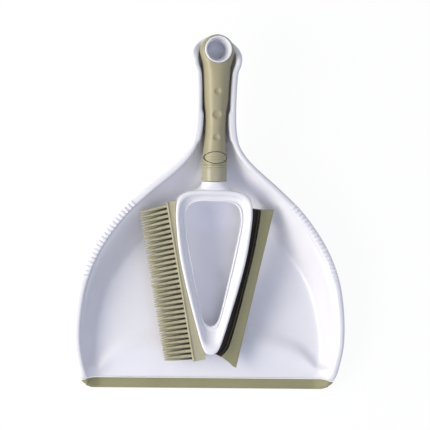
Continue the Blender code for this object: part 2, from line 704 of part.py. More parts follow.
frame_loop = smooth_loop(FRAME_EDGE)
window_loop = smooth_loop(WINDOW_EDGE)


def build_frame():
    """Dished ring: high round rim outside, slopes that fall to a thin lip round the window."""
    tall = FRAME_HALF_HEIGHT
    upper = [(0.0, tall - 0.0012), (0.05, tall - 0.0003), (0.14, tall), (0.22, tall - 0.0006),
             (0.88, 0.0026), (0.92, 0.0030), (1.0, 0.0024)]
    profile = upper + [(across, -height) for across, height in reversed(upper)]
    sections = []
    for edge, lip in zip(frame_loop, window_loop):
        section = []
        for across, height in profile:
            place = edge.lerp(lip, across)
            section.append(Vector((place.x, place.y, height)))
        sections.append(section)
    frame = add_object("head_frame", ring_of_rings(sections), frame_white, brush_axis)
    neck = loft([oval_section(y, w, h, 28, 2.3 - 0.3 * smoothstep((y - 0.1755) / 0.010)) for y, w, h in NECK])
    boolean(frame, tool("neck_body", neck), "UNION")
    half_width, half_height = SPIGOT_HALF
    spigot = tool("spigot_body", box((-half_width, 0.184, -half_height), (half_width, SPIGOT_END, half_height)))
    notch = box((-2 * half_width, NOTCH[0], -2 * half_height), (2 * half_width, NOTCH[1], -half_height + NOTCH_DEPTH))
    boolean(spigot, tool("notch_tool", notch))
    boolean(frame, spigot, "UNION")
    return frame


frame_clearance_tool = tool("frame_clearance_tool", prism(grown(frame_loop, GAP), -CLEAR_ABOVE, CLEAR_ABOVE))


def build_bristles():
    """Rubber bar with tapered bristles in staggered rows, all one moulding."""
    top, foot = Vector((*RIDGE_TOP, 0)), Vector((*RIDGE_FOOT, 0))
    along = (foot - top).normalized()
    inward = Vector((-along.y, along.x, 0))
    length = (foot - top).length
    tall = BAR_HALF_HEIGHT
    upper = [(0.0, tall), (0.0004, tall + BEAD_HEIGHT), (0.0014, tall + BEAD_HEIGHT), (0.0018, tall),
             (BAR_WIDTH, tall)]
    profile = upper + [(x, -z) for x, z in reversed(upper)]
    rings = []
    for end in (0, 1):
        rings.append([top + along * length * end + inward * x + Vector((0, 0, z)) for x, z in profile])
    bar = add_object("bristle_bar", loft(rings), bristle_rubber, brush_axis)
    boolean(bar, frame_clearance_tool)
    bm = bmesh.new()
    pitch = (length - 2 * BRISTLE_MARGIN) / (BRISTLES_PER_ROW - 0.5)
    top_row = tall - BRISTLE_ROOT - GAP
    for row in range(BRISTLE_ROWS):
        height = top_row * (1 - 2 * row / (BRISTLE_ROWS - 1))
        for k in range(BRISTLES_PER_ROW):
            place = BRISTLE_MARGIN + (k + 0.5 * (row % 2)) * pitch
            lean = BRISTLE_FAN * (1 - 2 * place / length)
            direction = (-inward * cos(lean) + along * sin(lean)).normalized()
            side = Vector((0, 0, 1)).cross(direction)
            root = top + along * place + inward * BRISTLE_BURIED + Vector((0, 0, height))
            reach = direction * (BRISTLE_LENGTH + BRISTLE_BURIED)
            rings = []
            for part, radius in ((0.0, BRISTLE_ROOT), (0.93, BRISTLE_TIP)):
                centre = root + reach * part
                rings.append([bm.verts.new(centre + radius * (cos(a) * side + sin(a) * Vector((0, 0, 1))))
                              for a in (2 * pi * i / BRISTLE_SIDES for i in range(BRISTLE_SIDES))])
            tip = bm.verts.new(root + reach)
            bm.faces.new(rings[0])
            for i in range(BRISTLE_SIDES):
                j = (i + 1) % BRISTLE_SIDES
                bm.faces.new((rings[0][i], rings[0][j], rings[1][j], rings[1][i]))
                bm.faces.new((rings[1][i], rings[1][j], tip))
    boolean(bar, tool("bristle_bodies", bm), "UNION")
    return bar


def build_squeegee():
    """Flared blade: a thick bar against the frame, a bead, a groove, then a concave taper to the edge."""
    ridge = [Vector((x, y, 0)) for x, y in SQUEEGEE_RIDGE]
    edge_top, toe = Vector((*SQUEEGEE_EDGE_TOP, 0)), Vector((*SQUEEGEE_TOE, 0))
    lengths = [0.0]
    for a, b in zip(ridge, ridge[1:]):
        lengths.append(lengths[-1] + (b - a).length)
    x_knots = [(run, p.x) for run, p in zip(lengths, ridge)]
    y_knots = [(run, p.y) for run, p in zip(lengths, ridge)]
    rows = 16
    rings = []
    for k in range(rows + 1):
        run = lengths[-1] * k / rows
        point = Vector((level(x_knots, run), level(y_knots, run), 0))
        ahead = Vector((table(x_knots, run)[1], table(y_knots, run)[1], 0))
        if ahead.length == 0:
            ahead = ridge[1] - ridge[0] if k == 0 else ridge[-1] - ridge[-2]
        ahead.normalize()
        outward = Vector((-ahead.y, ahead.x, 0))
        edge = edge_top.lerp(toe, k / rows)
        tall = BAR_HALF_HEIGHT
        upper = [(point - outward * 0.0095, tall), (point - outward * 0.0018, tall),
                 (point - outward * 0.0014, tall + BEAD_HEIGHT), (point - outward * 0.0004, tall + BEAD_HEIGHT),
                 (point, tall)]
        for part in (0.07, 0.2, 0.4, 0.65, 1.0):
            thick = 0.0008 + 0.0040 * (1 - part) ** 2
            upper.append((point.lerp(edge, part), thick))
        ring = [Vector((p.x, p.y, z)) for p, z in upper] + [Vector((p.x, p.y, -z)) for p, z in reversed(upper)]
        rings.append(ring)
    blade = add_object("squeegee_blade", loft(rings), squeegee_rubber, brush_axis)
    boolean(blade, frame_clearance_tool)
    sides = 40
    outline = [(TOE_CUT_CENTRE[0] + TOE_CUT_RADIUS * cos(2 * pi * i / sides),
                TOE_CUT_CENTRE[1] + TOE_CUT_RADIUS * sin(2 * pi * i / sides)) for i in range(sides)]
    boolean(blade, tool("toe_cut_tool", prism(outline, -CLEAR_ABOVE, CLEAR_ABOVE)))
    return blade


head_frame = build_frame()
bristle_bar = build_bristles()
squeegee_blade = build_squeegee()
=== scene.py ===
# %% [markdown]
# # Dustpan and brush
# A household dustpan with a hand brush that lies in its channel handle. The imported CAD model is
# the frame of this lesson: it says where every piece goes and which body it moves with, and the
# cells below make the pieces that are seen. All lengths are in metres.
# %% Load the frame
from math import atan, cos, hypot, pi, radians, sin, sqrt
from random import Random
import bmesh
import bpy
from mathutils import Matrix, Vector


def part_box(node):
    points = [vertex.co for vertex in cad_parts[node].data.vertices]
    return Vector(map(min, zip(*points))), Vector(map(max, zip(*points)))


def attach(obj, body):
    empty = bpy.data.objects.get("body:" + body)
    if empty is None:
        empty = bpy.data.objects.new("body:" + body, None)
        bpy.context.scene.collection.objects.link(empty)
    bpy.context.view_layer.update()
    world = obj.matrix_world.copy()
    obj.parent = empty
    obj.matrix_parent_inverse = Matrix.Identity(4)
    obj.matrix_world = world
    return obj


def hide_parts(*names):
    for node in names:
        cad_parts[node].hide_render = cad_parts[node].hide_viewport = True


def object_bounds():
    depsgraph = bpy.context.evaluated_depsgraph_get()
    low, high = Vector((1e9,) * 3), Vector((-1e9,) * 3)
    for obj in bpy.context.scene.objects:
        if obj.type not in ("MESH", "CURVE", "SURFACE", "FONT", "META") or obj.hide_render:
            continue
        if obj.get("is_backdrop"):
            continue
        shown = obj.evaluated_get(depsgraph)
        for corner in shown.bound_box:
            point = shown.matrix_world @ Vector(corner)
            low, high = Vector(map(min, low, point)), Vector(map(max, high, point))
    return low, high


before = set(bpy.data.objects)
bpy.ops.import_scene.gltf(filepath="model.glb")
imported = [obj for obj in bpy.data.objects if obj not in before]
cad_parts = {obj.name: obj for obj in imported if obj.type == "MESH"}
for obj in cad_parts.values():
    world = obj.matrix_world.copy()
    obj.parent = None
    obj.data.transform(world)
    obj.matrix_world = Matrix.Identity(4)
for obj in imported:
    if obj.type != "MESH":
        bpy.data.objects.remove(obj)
cad_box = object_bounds()
print("CAD nodes:", sorted(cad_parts))

# %% [markdown]
# ## Camera
# The set is seen from almost straight above, with a long lens, so its outline is hardly
# distorted. A long lens far away and a short one close by can frame a thing alike, but only the
# long one keeps the near handle and the far floor at nearly one scale.
# %% Camera above the pan
lens_data = bpy.data.cameras.new("camera")
lens_data.sensor_width = 36
lens_data.lens = 148.66
camera = bpy.data.objects.new("camera", lens_data)
bpy.context.scene.collection.objects.link(camera)
camera.location = (-0.2028, -0.1503, 1.6)
camera.rotation_euler = (radians(5.24), radians(-7.471), radians(0.524))
bpy.context.scene.camera = camera
print("camera height", camera.location.z)

# %% [markdown]
# ## Two places to build from
# The pan is drawn from the front edge of its lip and the brush along its own axis, which climbs
# from the lip to the hang eye. Building each thing where its numbers are simple, and moving the
# finished mesh once with a matrix, is easier to read than adding offsets everywhere. The
# objects themselves stay at the origin, so a pattern on Object coordinates never slides.
# %% Places of the pan and the brush
PAN_LENGTH = 0.3153
AXIS_HEIGHT = 0.014             # of the brush axis above the lip's front edge
AXIS_SLOPE = 0.115
GAP = 0.0003                    # left between pieces that touch
pan_place = Matrix.Translation((0, -PAN_LENGTH / 2, 0))
brush_place = (Matrix.Translation((0, -PAN_LENGTH / 2, AXIS_HEIGHT))
               @ Matrix.Rotation(atan(AXIS_SLOPE), 4, "X"))
print("brush tilt in degrees", round(atan(AXIS_SLOPE) * 180 / pi, 2))

# %% [markdown]
# ## Curves through knots
# A moulded part has few straight lines. Each outline or height is kept as a short list of knots
# and read with a cubic that passes through all of them, so a handful of numbers gives a smooth
# curve at any fineness. Beyond the last knot the value stays level.
# %% Read a smooth curve from knots


def smoothstep(t):
    """Nought to one with a level start and end, and held there outside."""
    t = min(1.0, max(0.0, t))
    return t * t * (3 - 2 * t)


def curve(knots, at):
    """Value and slope at a place on a smooth curve through (place, value) knots."""
    if at <= knots[0][0]:
        return knots[0][1], 0.0
    if at >= knots[-1][0]:
        return knots[-1][1], 0.0
    index = max(i for i in range(len(knots) - 1) if knots[i][0] <= at)

    def knot_slope(i):
        before, after = knots[max(i - 1, 0)], knots[min(i + 1, len(knots) - 1)]
        return (after[1] - before[1]) / (after[0] - before[0])

    (x0, v0), (x1, v1) = knots[index], knots[index + 1]
    span = x1 - x0
    t = (at - x0) / span
    m0, m1 = knot_slope(index) * span, knot_slope(index + 1) * span
    value = ((2 * t**3 - 3 * t**2 + 1) * v0 + (t**3 - 2 * t**2 + t) * m0
             + (-2 * t**3 + 3 * t**2) * v1 + (t**3 - t**2) * m1)
    slope = ((6 * t**2 - 6 * t) * v0 + (3 * t**2 - 4 * t + 1) * m0
             + (-6 * t**2 + 6 * t) * v1 + (3 * t**2 - 2 * t) * m1) / span
    return value, slope


def level(knots, at):
    """Only the value of a smooth curve."""
    return curve(knots, at)[0]


def steps(first, last, count):
    """Even places from first to last, both included."""
    return [first + (last - first) * k / count for k in range(count + 1)]


print("halfway up a smooth step:", smoothstep(0.5))

# %% [markdown]
# ## Skins from a grid
# Most pieces here are lofts: a section that changes as it travels. A grid is a sheet with rows
# and columns, so if each row is laid on one section, the grid becomes the skin. Where the first
# and last column land on the same points they are merged, and the sheet closes to a tube.
# %% Lay a grid on sections
SAME_POINT = 1e-7               # points closer than this are one


def skin(sections, close_ends=False):
    """A grid with one row per section and each vertex on its point. Edges that meet merge."""
    rows, columns = len(sections) - 1, len(sections[0]) - 1
    bm = bmesh.new()
    bmesh.ops.create_grid(bm, x_segments=columns, y_segments=rows, size=0.5)
    for vert in bm.verts:
        row, column = round((vert.co.y + 0.5) * rows), round((vert.co.x + 0.5) * columns)
        vert.co = sections[row][column]
    bmesh.ops.remove_doubles(bm, verts=bm.verts, dist=SAME_POINT)
    bmesh.ops.dissolve_degenerate(bm, edges=bm.edges, dist=SAME_POINT)
    if close_ends:
        bmesh.ops.holes_fill(bm, edges=[e for e in bm.edges if e.is_boundary], sides=0)
    return bm


def oval(y, half_width, half_height, sides, power=2.0):
    """A closed section across the brush, from an ellipse (power 2) towards a rounded box."""

    def part_of(side):
        return abs(side) ** (2 / power) * (1 if side > 0 else -1)

    turn = [2 * pi * k / sides for k in range(sides)]
    points = [Vector((half_width * part_of(cos(a)), y, half_height * part_of(sin(a))))
              for a in turn]
    return points + [points[0].copy()]


def turned(profile, axis, centre=(0, 0, 0), around=72):
    """Turn an open or closed line of points a full circle."""
    bm = bmesh.new()
    line = [bm.verts.new(point) for point in profile]
    edges = [bm.edges.new(pair) for pair in zip(line, line[1:])]
    bmesh.ops.spin(bm, geom=line + edges, cent=centre, axis=axis, angle=2 * pi, steps=around,
                   use_merge=True)
    bmesh.ops.remove_doubles(bm, verts=bm.verts, dist=SAME_POINT)
    return bm


def block(low, high, round_edge=0.0, into=None):
    """A box between two corners, with rounded edges where a radius is given."""
    bm = into or bmesh.new()
    low, high = Vector(low), Vector(high)
    made = bmesh.ops.create_cube(bm, size=1)["verts"]
    bmesh.ops.scale(bm, vec=high - low, verts=made)
    bmesh.ops.translate(bm, vec=(low + high) / 2, verts=made)
    if round_edge:
        edges = list({e for v in made for e in v.link_edges})
        bmesh.ops.bevel(bm, geom=edges, offset=round_edge, offset_type="OFFSET", affect="EDGES",
                        segments=3, profile=0.5, material=-1)
    return bm


def column(outline, low, high):
    """An upright solid over a closed outline of (x, y) points."""
    rings = [[Vector((x, y, z)) for x, y in list(outline) + [outline[0]]] for z in (low, high)]
    return skin(rings, close_ends=True)


print("a block has", len(block((0, 0, 0), (1, 1, 1)).faces), "faces")

# %% [markdown]
# ## Finishes: the shared effects
# Three things happen on all of these plastics and rubbers. The mould leaves a very fine grain,
# use polishes or scuffs patches of it, and the edges wear a little lighter. Each is made once as
# a node group with its own inputs, and every material sets them to suit. A group puts out only
# values that change over the surface; the shader itself stays in the material.
# %% A node group with named inputs


def new_group(name, inputs, outputs):
    """A shader node group with float or vector inputs (name, kind, start) and float outputs."""
    group = bpy.data.node_groups.new(name, "ShaderNodeTree")
    for label, kind, start in inputs:
        socket = group.interface.new_socket(label, in_out="INPUT", socket_type=kind)
        if start is not None:
            socket.default_value = start
    for label in outputs:
        group.interface.new_socket(label, in_out="OUTPUT", socket_type="NodeSocketFloat")
    return group, group.nodes.new("NodeGroupInput"), group.nodes.new("NodeGroupOutput")


def feed(tree, socket, value):
    """Link another node's socket to this one, or set a number, a vector or a colour."""
    if isinstance(value, bpy.types.NodeSocket):
        tree.links.new(value, socket)
    else:
        socket.default_value = value


def maths(tree, operation, first, second, clamp=False):
    """A Math node between two sockets or numbers."""
    made = tree.nodes.new("ShaderNodeMath")
    made.operation, made.use_clamp = operation, clamp
    feed(tree, made.inputs[0], first)
    feed(tree, made.inputs[1], second)
    return made.outputs[0]


def noise(tree, vector, scale, detail=3.0, roughness=0.55):
    """A Noise Texture on the given coordinates, as a value from nought to one."""
    made = tree.nodes.new("ShaderNodeTexNoise")
    for label, value in (("Vector", vector), ("Scale", scale), ("Detail", detail),
                         ("Roughness", roughness)):
        feed(tree, made.inputs[label], value)
    return made.outputs["Fac"]


def remap(tree, value, low, high, to_low=0.0, to_high=1.0):
    """Stretch the values between low and high to another range."""
    made = tree.nodes.new("ShaderNodeMapRange")
    for label, given_value in (("Value", value), ("From Min", low), ("From Max", high),
                               ("To Min", to_low), ("To Max", to_high)):
        feed(tree, made.inputs[label], given_value)
    return made.outputs["Result"]


print("node helpers ready")

# %% [markdown]
# ### Moulding grain
# Spark-eroded tools leave a grain of about a tenth of a millimetre, and the polymer flows
# unevenly, so the colour drifts a little over some centimetres. A very fine noise gives the
# height for the bump. A coarse one, with a quarter of small flecks in it, is the colour's shade.
# %% Group: moulding grain
grain_group, given, put_out = new_group(
    "moulding_grain",
    [("Vector", "NodeSocketVector", None), ("Scale", "NodeSocketFloat", 6000.0)],
    ["Height", "Shade"])
fine = noise(grain_group, given.outputs["Vector"], given.outputs["Scale"], 2.0)
coarse = noise(grain_group, given.outputs["Vector"], 28.0, 4.0)
flecks = noise(grain_group, given.outputs["Vector"], 900.0, 2.0)
shade = maths(grain_group, "ADD", maths(grain_group, "MULTIPLY", coarse, 0.75),
              maths(grain_group, "MULTIPLY", flecks, 0.25))
grain_group.links.new(fine, put_out.inputs["Height"])
grain_group.links.new(remap(grain_group, shade, 0.3, 0.7), put_out.inputs["Shade"])
print("grain group nodes:", len(grain_group.nodes))

# %% [markdown]
# ### Rubbed patches and scuffs
# Hands leave broad, soft patches of different gloss, and grit that is swept along leaves fine
# lines that all run one way. The lines are noise read through a Mapping node that stretches it
# along the sweep, and only its crests are kept.
# %% Group: rubs and scuffs
scuff_group, given, put_out = new_group(
    "rubs_and_scuffs",
    [("Vector", "NodeSocketVector", None), ("Stretch", "NodeSocketVector", (1.0, 0.06, 1.0))],
    ["Patches", "Lines"])
patches = noise(scuff_group, given.outputs["Vector"], 45.0, 5.0, 0.6)
stretch = scuff_group.nodes.new("ShaderNodeVectorMath")
stretch.operation = "MULTIPLY"
scuff_group.links.new(given.outputs["Vector"], stretch.inputs[0])
scuff_group.links.new(given.outputs["Stretch"], stretch.inputs[1])
lines = noise(scuff_group, stretch.outputs["Vector"], 900.0, 2.0)
broken = noise(scuff_group, given.outputs["Vector"], 70.0, 2.0)
crests = maths(scuff_group, "MULTIPLY", remap(scuff_group, lines, 0.66, 0.74),
               remap(scuff_group, broken, 0.5, 0.62))
scuff_group.links.new(remap(scuff_group, patches, 0.35, 0.65), put_out.inputs["Patches"])
scuff_group.links.new(crests, put_out.inputs["Lines"])
print("scuff group nodes:", len(scuff_group.nodes))

# %% [markdown]
# ### Worn edges
# Pointiness says how sharply the surface bulges at a point, which is where a cloth or a hand
# rubs first. It is broken up with noise, because wear is never an even line.
# %% Group: worn edges
wear_group, given, put_out = new_group(
    "worn_edges",
    [("Vector", "NodeSocketVector", None), ("Amount", "NodeSocketFloat", 0.5)], ["Mask"])
shape = wear_group.nodes.new("ShaderNodeNewGeometry")
bulge = remap(wear_group, shape.outputs["Pointiness"], 0.515, 0.60)
patchy = remap(wear_group, noise(wear_group, given.outputs["Vector"], 260.0, 4.0), 0.40, 0.62)
mask = maths(wear_group, "MULTIPLY", maths(wear_group, "MULTIPLY", bulge, patchy),
             given.outputs["Amount"], clamp=True)
wear_group.links.new(mask, put_out.inputs["Mask"])
print("wear group nodes:", len(wear_group.nodes))

# %% [markdown]
# ## The materials
# All of the white pieces are glossy polypropylene, and all of the sage ones are a satin rubber or
# plastic of one batch, so one recipe serves both with different numbers. The recipe mixes two
# near colours by the grain's shade, lightens or darkens the worn edges, lets the rubbed
# patches move the roughness, and adds the grain as a bump. Numbers that are the same all
# over, such as the index of refraction, are set straight on the shader's own sockets.
# %% A recipe for moulded materials


def tone(red, green, blue):
    """A colour from everyday 0 to 255 values to the linear ones a shader wants."""
    parts = [value / 255 for value in (red, green, blue)]
    return [v / 12.92 if v <= 0.04045 else ((v + 0.055) / 1.055) ** 2.4 for v in parts] + [1.0]


def blend_colour(tree, by, first, second):
    """A Mix node set to colour, whose two colours are its sockets 6 and 7."""
    made = tree.nodes.new("ShaderNodeMix")
    made.data_type = "RGBA"
    feed(tree, made.inputs["Factor"], by)
    feed(tree, made.inputs[6], first)
    feed(tree, made.inputs[7], second)
    return made.outputs[2]


def placed_group(tree, group, vector, **values):
    """One of the shared groups in a material, with the values that suit it."""
    made = tree.nodes.new("ShaderNodeGroup")
    made.node_tree = group
    for label, value in {"Vector": vector, **values}.items():
        feed(tree, made.inputs[label], value)
    return made


def rough_surface(tree, shader, height, depth):
    """Bump the shader's normal by a height, in metres at full height."""
    bump = tree.nodes.new("ShaderNodeBump")
    feed(tree, bump.inputs["Distance"], depth)
    feed(tree, bump.inputs["Height"], height)
    feed(tree, shader.inputs["Normal"], bump.outputs["Normal"])


def new_material(name):
    """A material, its node tree and its shader."""
    material = bpy.data.materials.new(name)
    material.use_nodes = True
    return material, material.node_tree, material.node_tree.nodes["Principled BSDF"]


def object_places(tree):
    """The coordinates of a point on its own object, which stay put when the piece moves."""
    return tree.nodes.new("ShaderNodeTexCoord").outputs["Object"]


def moulded(name, dark, light, worn, rough, grain_scale, grain_depth, wear, scuffs,
            ior=1.49, stretch=(1.0, 0.06, 1.0)):
    """Plastic or rubber: colours for low and high shade and worn edges, and a roughness range."""
    material, tree, shader = new_material(name)
    where = object_places(tree)
    grain = placed_group(tree, grain_group, where, Scale=grain_scale)
    rubs = placed_group(tree, scuff_group, where, Stretch=stretch)
    edges = placed_group(tree, wear_group, where, Amount=wear)
    colour = blend_colour(tree, grain.outputs["Shade"], tone(*dark), tone(*light))
    colour = blend_colour(tree, edges.outputs["Mask"], colour, tone(*worn))
    feed(tree, shader.inputs["Base Color"], colour)
    gloss = remap(tree, rubs.outputs["Patches"], 0.0, 1.0, *rough)
    lines = maths(tree, "MULTIPLY", rubs.outputs["Lines"], scuffs)
    feed(tree, shader.inputs["Roughness"], maths(tree, "ADD", gloss, lines, clamp=True))
    rough_surface(tree, shader, grain.outputs["Height"], grain_depth)
    shader.inputs["IOR"].default_value = ior
    return material


print("white in linear values:", [round(v, 3) for v in tone(240, 240, 245)])

# %% [markdown]
# ### One set of finishes
# The pan and the head's frame are the same gloss white. The lip, grip, bristles and blade are
# rubber, where the lip and blade are a touch darker because they are thin and rub on floors.
# The blade's root is given a nearly black colour, which is painted shade: it stands for the
# shadow in the trough beside the frame. The collar and the button are a harder plastic in the
# sage of the grip, a little shinier. Each row gives a finish its slot and its numbers:
# the three colours, the range of roughness, the grain's scale and depth, wear and scuffs.
# %% White, sage rubber, sage plastic
ALONG_LIP, ALONG_BRISTLES = (1.0, 0.12, 1.0), (0.1, 1.0, 1.0)    # which way the scuffs run
recipes = [
    ("pan_white", "white_plastic", (236, 236, 243), (242, 242, 248), (247, 247, 250),
     (0.22, 0.27), 5200.0, 0.000004, 0.4, 0.12),
    ("frame_white", "white_plastic", (238, 238, 244), (243, 243, 248), (248, 248, 250),
     (0.18, 0.27), 5200.0, 0.000004, 0.3, 0.06),
    ("core_white", "white_plastic", (236, 238, 244), (242, 243, 248), (248, 248, 250),
     (0.22, 0.34), 4200.0, 0.000006, 0.3, 0.05),
    ("grip_rubber", "sage_rubber", (160, 153, 122), (171, 164, 133), (190, 184, 160),
     (0.28, 0.36), 3400.0, 0.00003, 0.35, 0.10),
    ("lip_rubber", "sage_rubber", (146, 143, 108), (156, 153, 118), (176, 173, 142),
     (0.46, 0.60), 3000.0, 0.00004, 0.6, 0.22, 1.42, ALONG_LIP),
    ("bristle_rubber", "sage_rubber", (170, 165, 136), (184, 179, 150), (208, 204, 180),
     (0.40, 0.54), 2600.0, 0.00003, 0.7, 0.10, 1.42, ALONG_BRISTLES),
    ("blade_rubber", "sage_rubber", (146, 142, 108), (156, 152, 118), (178, 175, 146),
     (0.42, 0.56), 3000.0, 0.00004, 0.5, 0.16, 1.42, ALONG_BRISTLES),
    # painted shade: a nearly black colour standing for the shadow in the trough beside the frame
    ("painted_shade_rubber", "sage_rubber", (38, 34, 27), (50, 45, 36), (84, 78, 64),
     (0.60, 0.74), 3000.0, 0.00003, 0.3, 0.10, 1.36, ALONG_BRISTLES),
    ("collar_sage", "sage_plastic", (168, 162, 138), (178, 172, 148), (200, 196, 178),
     (0.22, 0.30), 4200.0, 0.00001, 0.5, 0.10),
    ("button_sage", "sage_plastic", (166, 159, 130), (177, 170, 141), (198, 193, 168),
     (0.32, 0.44), 3600.0, 0.00002, 0.6, 0.12),
]
finishes = {name: (slot, moulded(name, *numbers)) for name, slot, *numbers in recipes}
print("moulded finishes:", sorted(finishes))

# %% [markdown]
# ### Spring steel
# The catch is a strip of cold-rolled steel. Rolling leaves fine lines along the strip, so the
# noise is squeezed across it, and both the colour and the roughness follow those lines.
# %% Cold-rolled steel
steel, tree, shader = new_material("spring_steel")
where = object_places(tree)
rolled = tree.nodes.new("ShaderNodeMapping")
rolled.inputs["Scale"].default_value = (1.0, 0.03, 1.0)
tree.links.new(where, rolled.inputs["Vector"])
streaks = noise(tree, rolled.outputs["Vector"], 5200.0)
rubs = placed_group(tree, scuff_group, where, Stretch=(1.0, 0.05, 1.0))
colour = blend_colour(tree, streaks, tone(150, 151, 156), tone(196, 197, 202))
colour = blend_colour(tree, rubs.outputs["Lines"], colour, tone(216, 216, 220))
feed(tree, shader.inputs["Base Color"], colour)
feed(tree, shader.inputs["Roughness"], remap(tree, streaks, 0.2, 0.8, 0.24, 0.42))
shader.inputs["Metallic"].default_value = 1.0
rough_surface(tree, shader, streaks, 0.000006)
finishes["spring_steel"] = ("spring_steel", steel)
print("all finishes:", len(finishes))

# %% [markdown]
# ## From a bmesh to a piece
# Every piece ends in the same steps: its doubles are merged, its normals face outwards, the mesh
# is moved to its place, the edges sharper than a limit stay crisp, and the piece is tied to the
# body that carries it. Holes that no operator makes, such as a round eye through a grip, are cut
# with a Boolean whose result is kept as plain mesh, so no tool is left behind.
# %% Finish a piece, and cut a tool out of it


def new_object(name, bm, place=None):
    """Turn a bmesh into an object of the scene, moved by a matrix but left at the origin."""
    if place is not None:
        bmesh.ops.recalc_face_normals(bm, faces=bm.faces)
        bmesh.ops.transform(bm, matrix=place, verts=bm.verts)
    mesh = bpy.data.meshes.new(name)
    bm.to_mesh(mesh)
    bm.free()
    made = bpy.data.objects.new(name, mesh)
    bpy.context.scene.collection.objects.link(made)
    return made


def shade_mesh(mesh, sharp):
    """Shade a mesh smooth, but keep the edges above an angle in degrees crisp."""
    mesh.shade_smooth()
    mesh.set_sharp_from_angle(angle=radians(sharp))


def make_piece(name, bm, place, body, finish, stands_for=(), sharp=35):
    """Place and shade a piece, give it its finish's material, tie it to its body and hide the CAD
    nodes it stands for.
    """
    bmesh.ops.remove_doubles(bm, verts=bm.verts, dist=SAME_POINT)
    piece = new_object(name, bm, place)
    shade_mesh(piece.data, sharp)
    slot_name, material = finishes[finish]
    piece.data.materials.append(material)
    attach(piece, body)
    if stands_for:
        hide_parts(*stands_for)
    print(name, "faces:", len(piece.data.polygons))
    return piece


def carve(piece, tool_bm, sharp=35):
    """Cut a closed tool out of a piece of the brush and keep the result."""
    tool = new_object("tool", tool_bm, brush_place)
    cut = piece.modifiers.new("cut", "BOOLEAN")
    cut.object, cut.operation, cut.solver = tool, "DIFFERENCE", "EXACT"
    bpy.context.view_layer.update()
    seen = piece.evaluated_get(bpy.context.evaluated_depsgraph_get())
    result = bpy.data.meshes.new_from_object(seen)
    piece.modifiers.clear()
    before, tool_mesh, piece.data = piece.data, tool.data, result
    bpy.data.objects.remove(tool)
    for mesh in (before, tool_mesh):
        bpy.data.meshes.remove(mesh)
    result.name = piece.name
    shade_mesh(result, sharp)


def soften(piece, width, angle=40, segments=2):
    """Round the sharp edges of a piece by a small radius."""
    edge = piece.modifiers.new("soft_edges", "BEVEL")
    edge.width, edge.segments = width, segments
    edge.limit_method, edge.angle_limit = "ANGLE", radians(angle)


def subdivide(piece, levels):
    """Smooth a piece by splitting its faces, as often for the render as in the view."""
    surface = piece.modifiers.new("surface", "SUBSURF")
    surface.levels = surface.render_levels = levels


print("piece helpers ready")

# %% [markdown]
# ## The pan
# The pan is one injection moulding: a thin floor with a front ramp, side walls that curve up
# into a rolled rim, and a neck that narrows to the channel handle with a round end. A designer
# would sweep one section along the rim. The section changes all the way, so its measures are
# curves over the distance from the lip.
# %% Measures of the pan's section
FLOOR_THICKNESS = 0.002
FRONT_EDGE = 0.0093             # where the shell starts behind the rubber lip
LIP_HALF_WIDTH = 0.1138
side_outline = [                # (distance from the lip, half-width) of the rim's outer edge
    (FRONT_EDGE, 0.1142), (0.020, 0.1186), (0.041, 0.12215), (0.070, 0.1213), (0.099, 0.1160),
    (0.128, 0.1034), (0.157, 0.0824), (0.178, 0.0602), (0.200, 0.0342), (0.214, 0.0230),
    (0.228, 0.0192), (0.243, 0.0182), (0.262, 0.0183), (0.274, 0.0188), (0.2812, 0.0195)]
rim_width = [                   # of the rolled rim, across its top
    (FRONT_EDGE, 0.0060), (0.06, 0.0062), (0.10, 0.0066), (0.13, 0.0066), (0.175, 0.0064),
    (0.205, 0.0057), (0.225, 0.0056), (0.32, 0.0056)]
wall_run = [                    # how far the wall leans out between the floor and the rim
    (FRONT_EDGE, 0.0125), (0.02, 0.0140), (0.06, 0.018), (0.10, 0.022), (0.14, 0.026),
    (0.185, 0.024), (0.20, 0.0195), (0.215, 0.0125), (0.23, 0.0088), (0.32, 0.0088)]
wall_power = [                  # how hollow the wall is
    (FRONT_EDGE, 1.5), (0.10, 1.4), (0.185, 1.4), (0.22, 2.0), (0.32, 2.0)]
wall_sway = [                   # how much of an S is mixed with that hollow
    (0.02, 0.30), (0.05, 0.80), (0.16, 0.80), (0.20, 0.35), (0.22, 0.30), (0.32, 0.30)]
row_arch = [                    # how far the middle of a floor row runs ahead of its ends
    (FRONT_EDGE, 0.0), (0.0125, 0.014), (0.016, 0.027), (0.022, 0.031), (0.041, 0.027),
    (0.070, 0.015), (0.10, 0.006), (0.13, 0.0), (0.32, 0.0)]
rim_above_axis = [(0.16, 0.002), (0.235, 0.005), (0.32, 0.005)]
RIM_ROUND = 0.0025              # radius of the rim's two edges
RIM_DROP = 0.0060               # height of the rim's outside
NOSE_END = 0.041                # the side walls reach full height here
NOSE_HEIGHT = 0.0062            # of the rim above the floor at the lip
print("pan half-width halfway:", round(level(side_outline, 0.15), 4))

# %% [markdown]
# ### Heights
# A ramp behind the lip lifts the dirt over a soft crease, and the floor then drops into a basin.
# Towards the handle the floor climbs into the channel. The rim follows the brush axis, except
# near the lip, where it falls in a quarter ellipse like a sledge's nose.
# %% Floor, rim and nose
CREASE, BASIN_FRONT, BASIN_BACK = 0.043, 0.060, 0.135    # distances from the lip
RAMP_RISE = 0.0045
CHANNEL_CLIMB = 0.080           # length over which the floor climbs into the channel
CHANNEL_DEPTH = 0.0145          # below the brush axis
CORNER = 0.1015                 # half-width where the front line starts to sweep forward
LUG_FRONT, LUG_BACK, LUG_STEP, LUG_EASE = 0.219, 0.244, 0.0016, 0.002


def axis_height(y):
    """Height of the brush's axis."""
    return AXIS_HEIGHT + AXIS_SLOPE * y


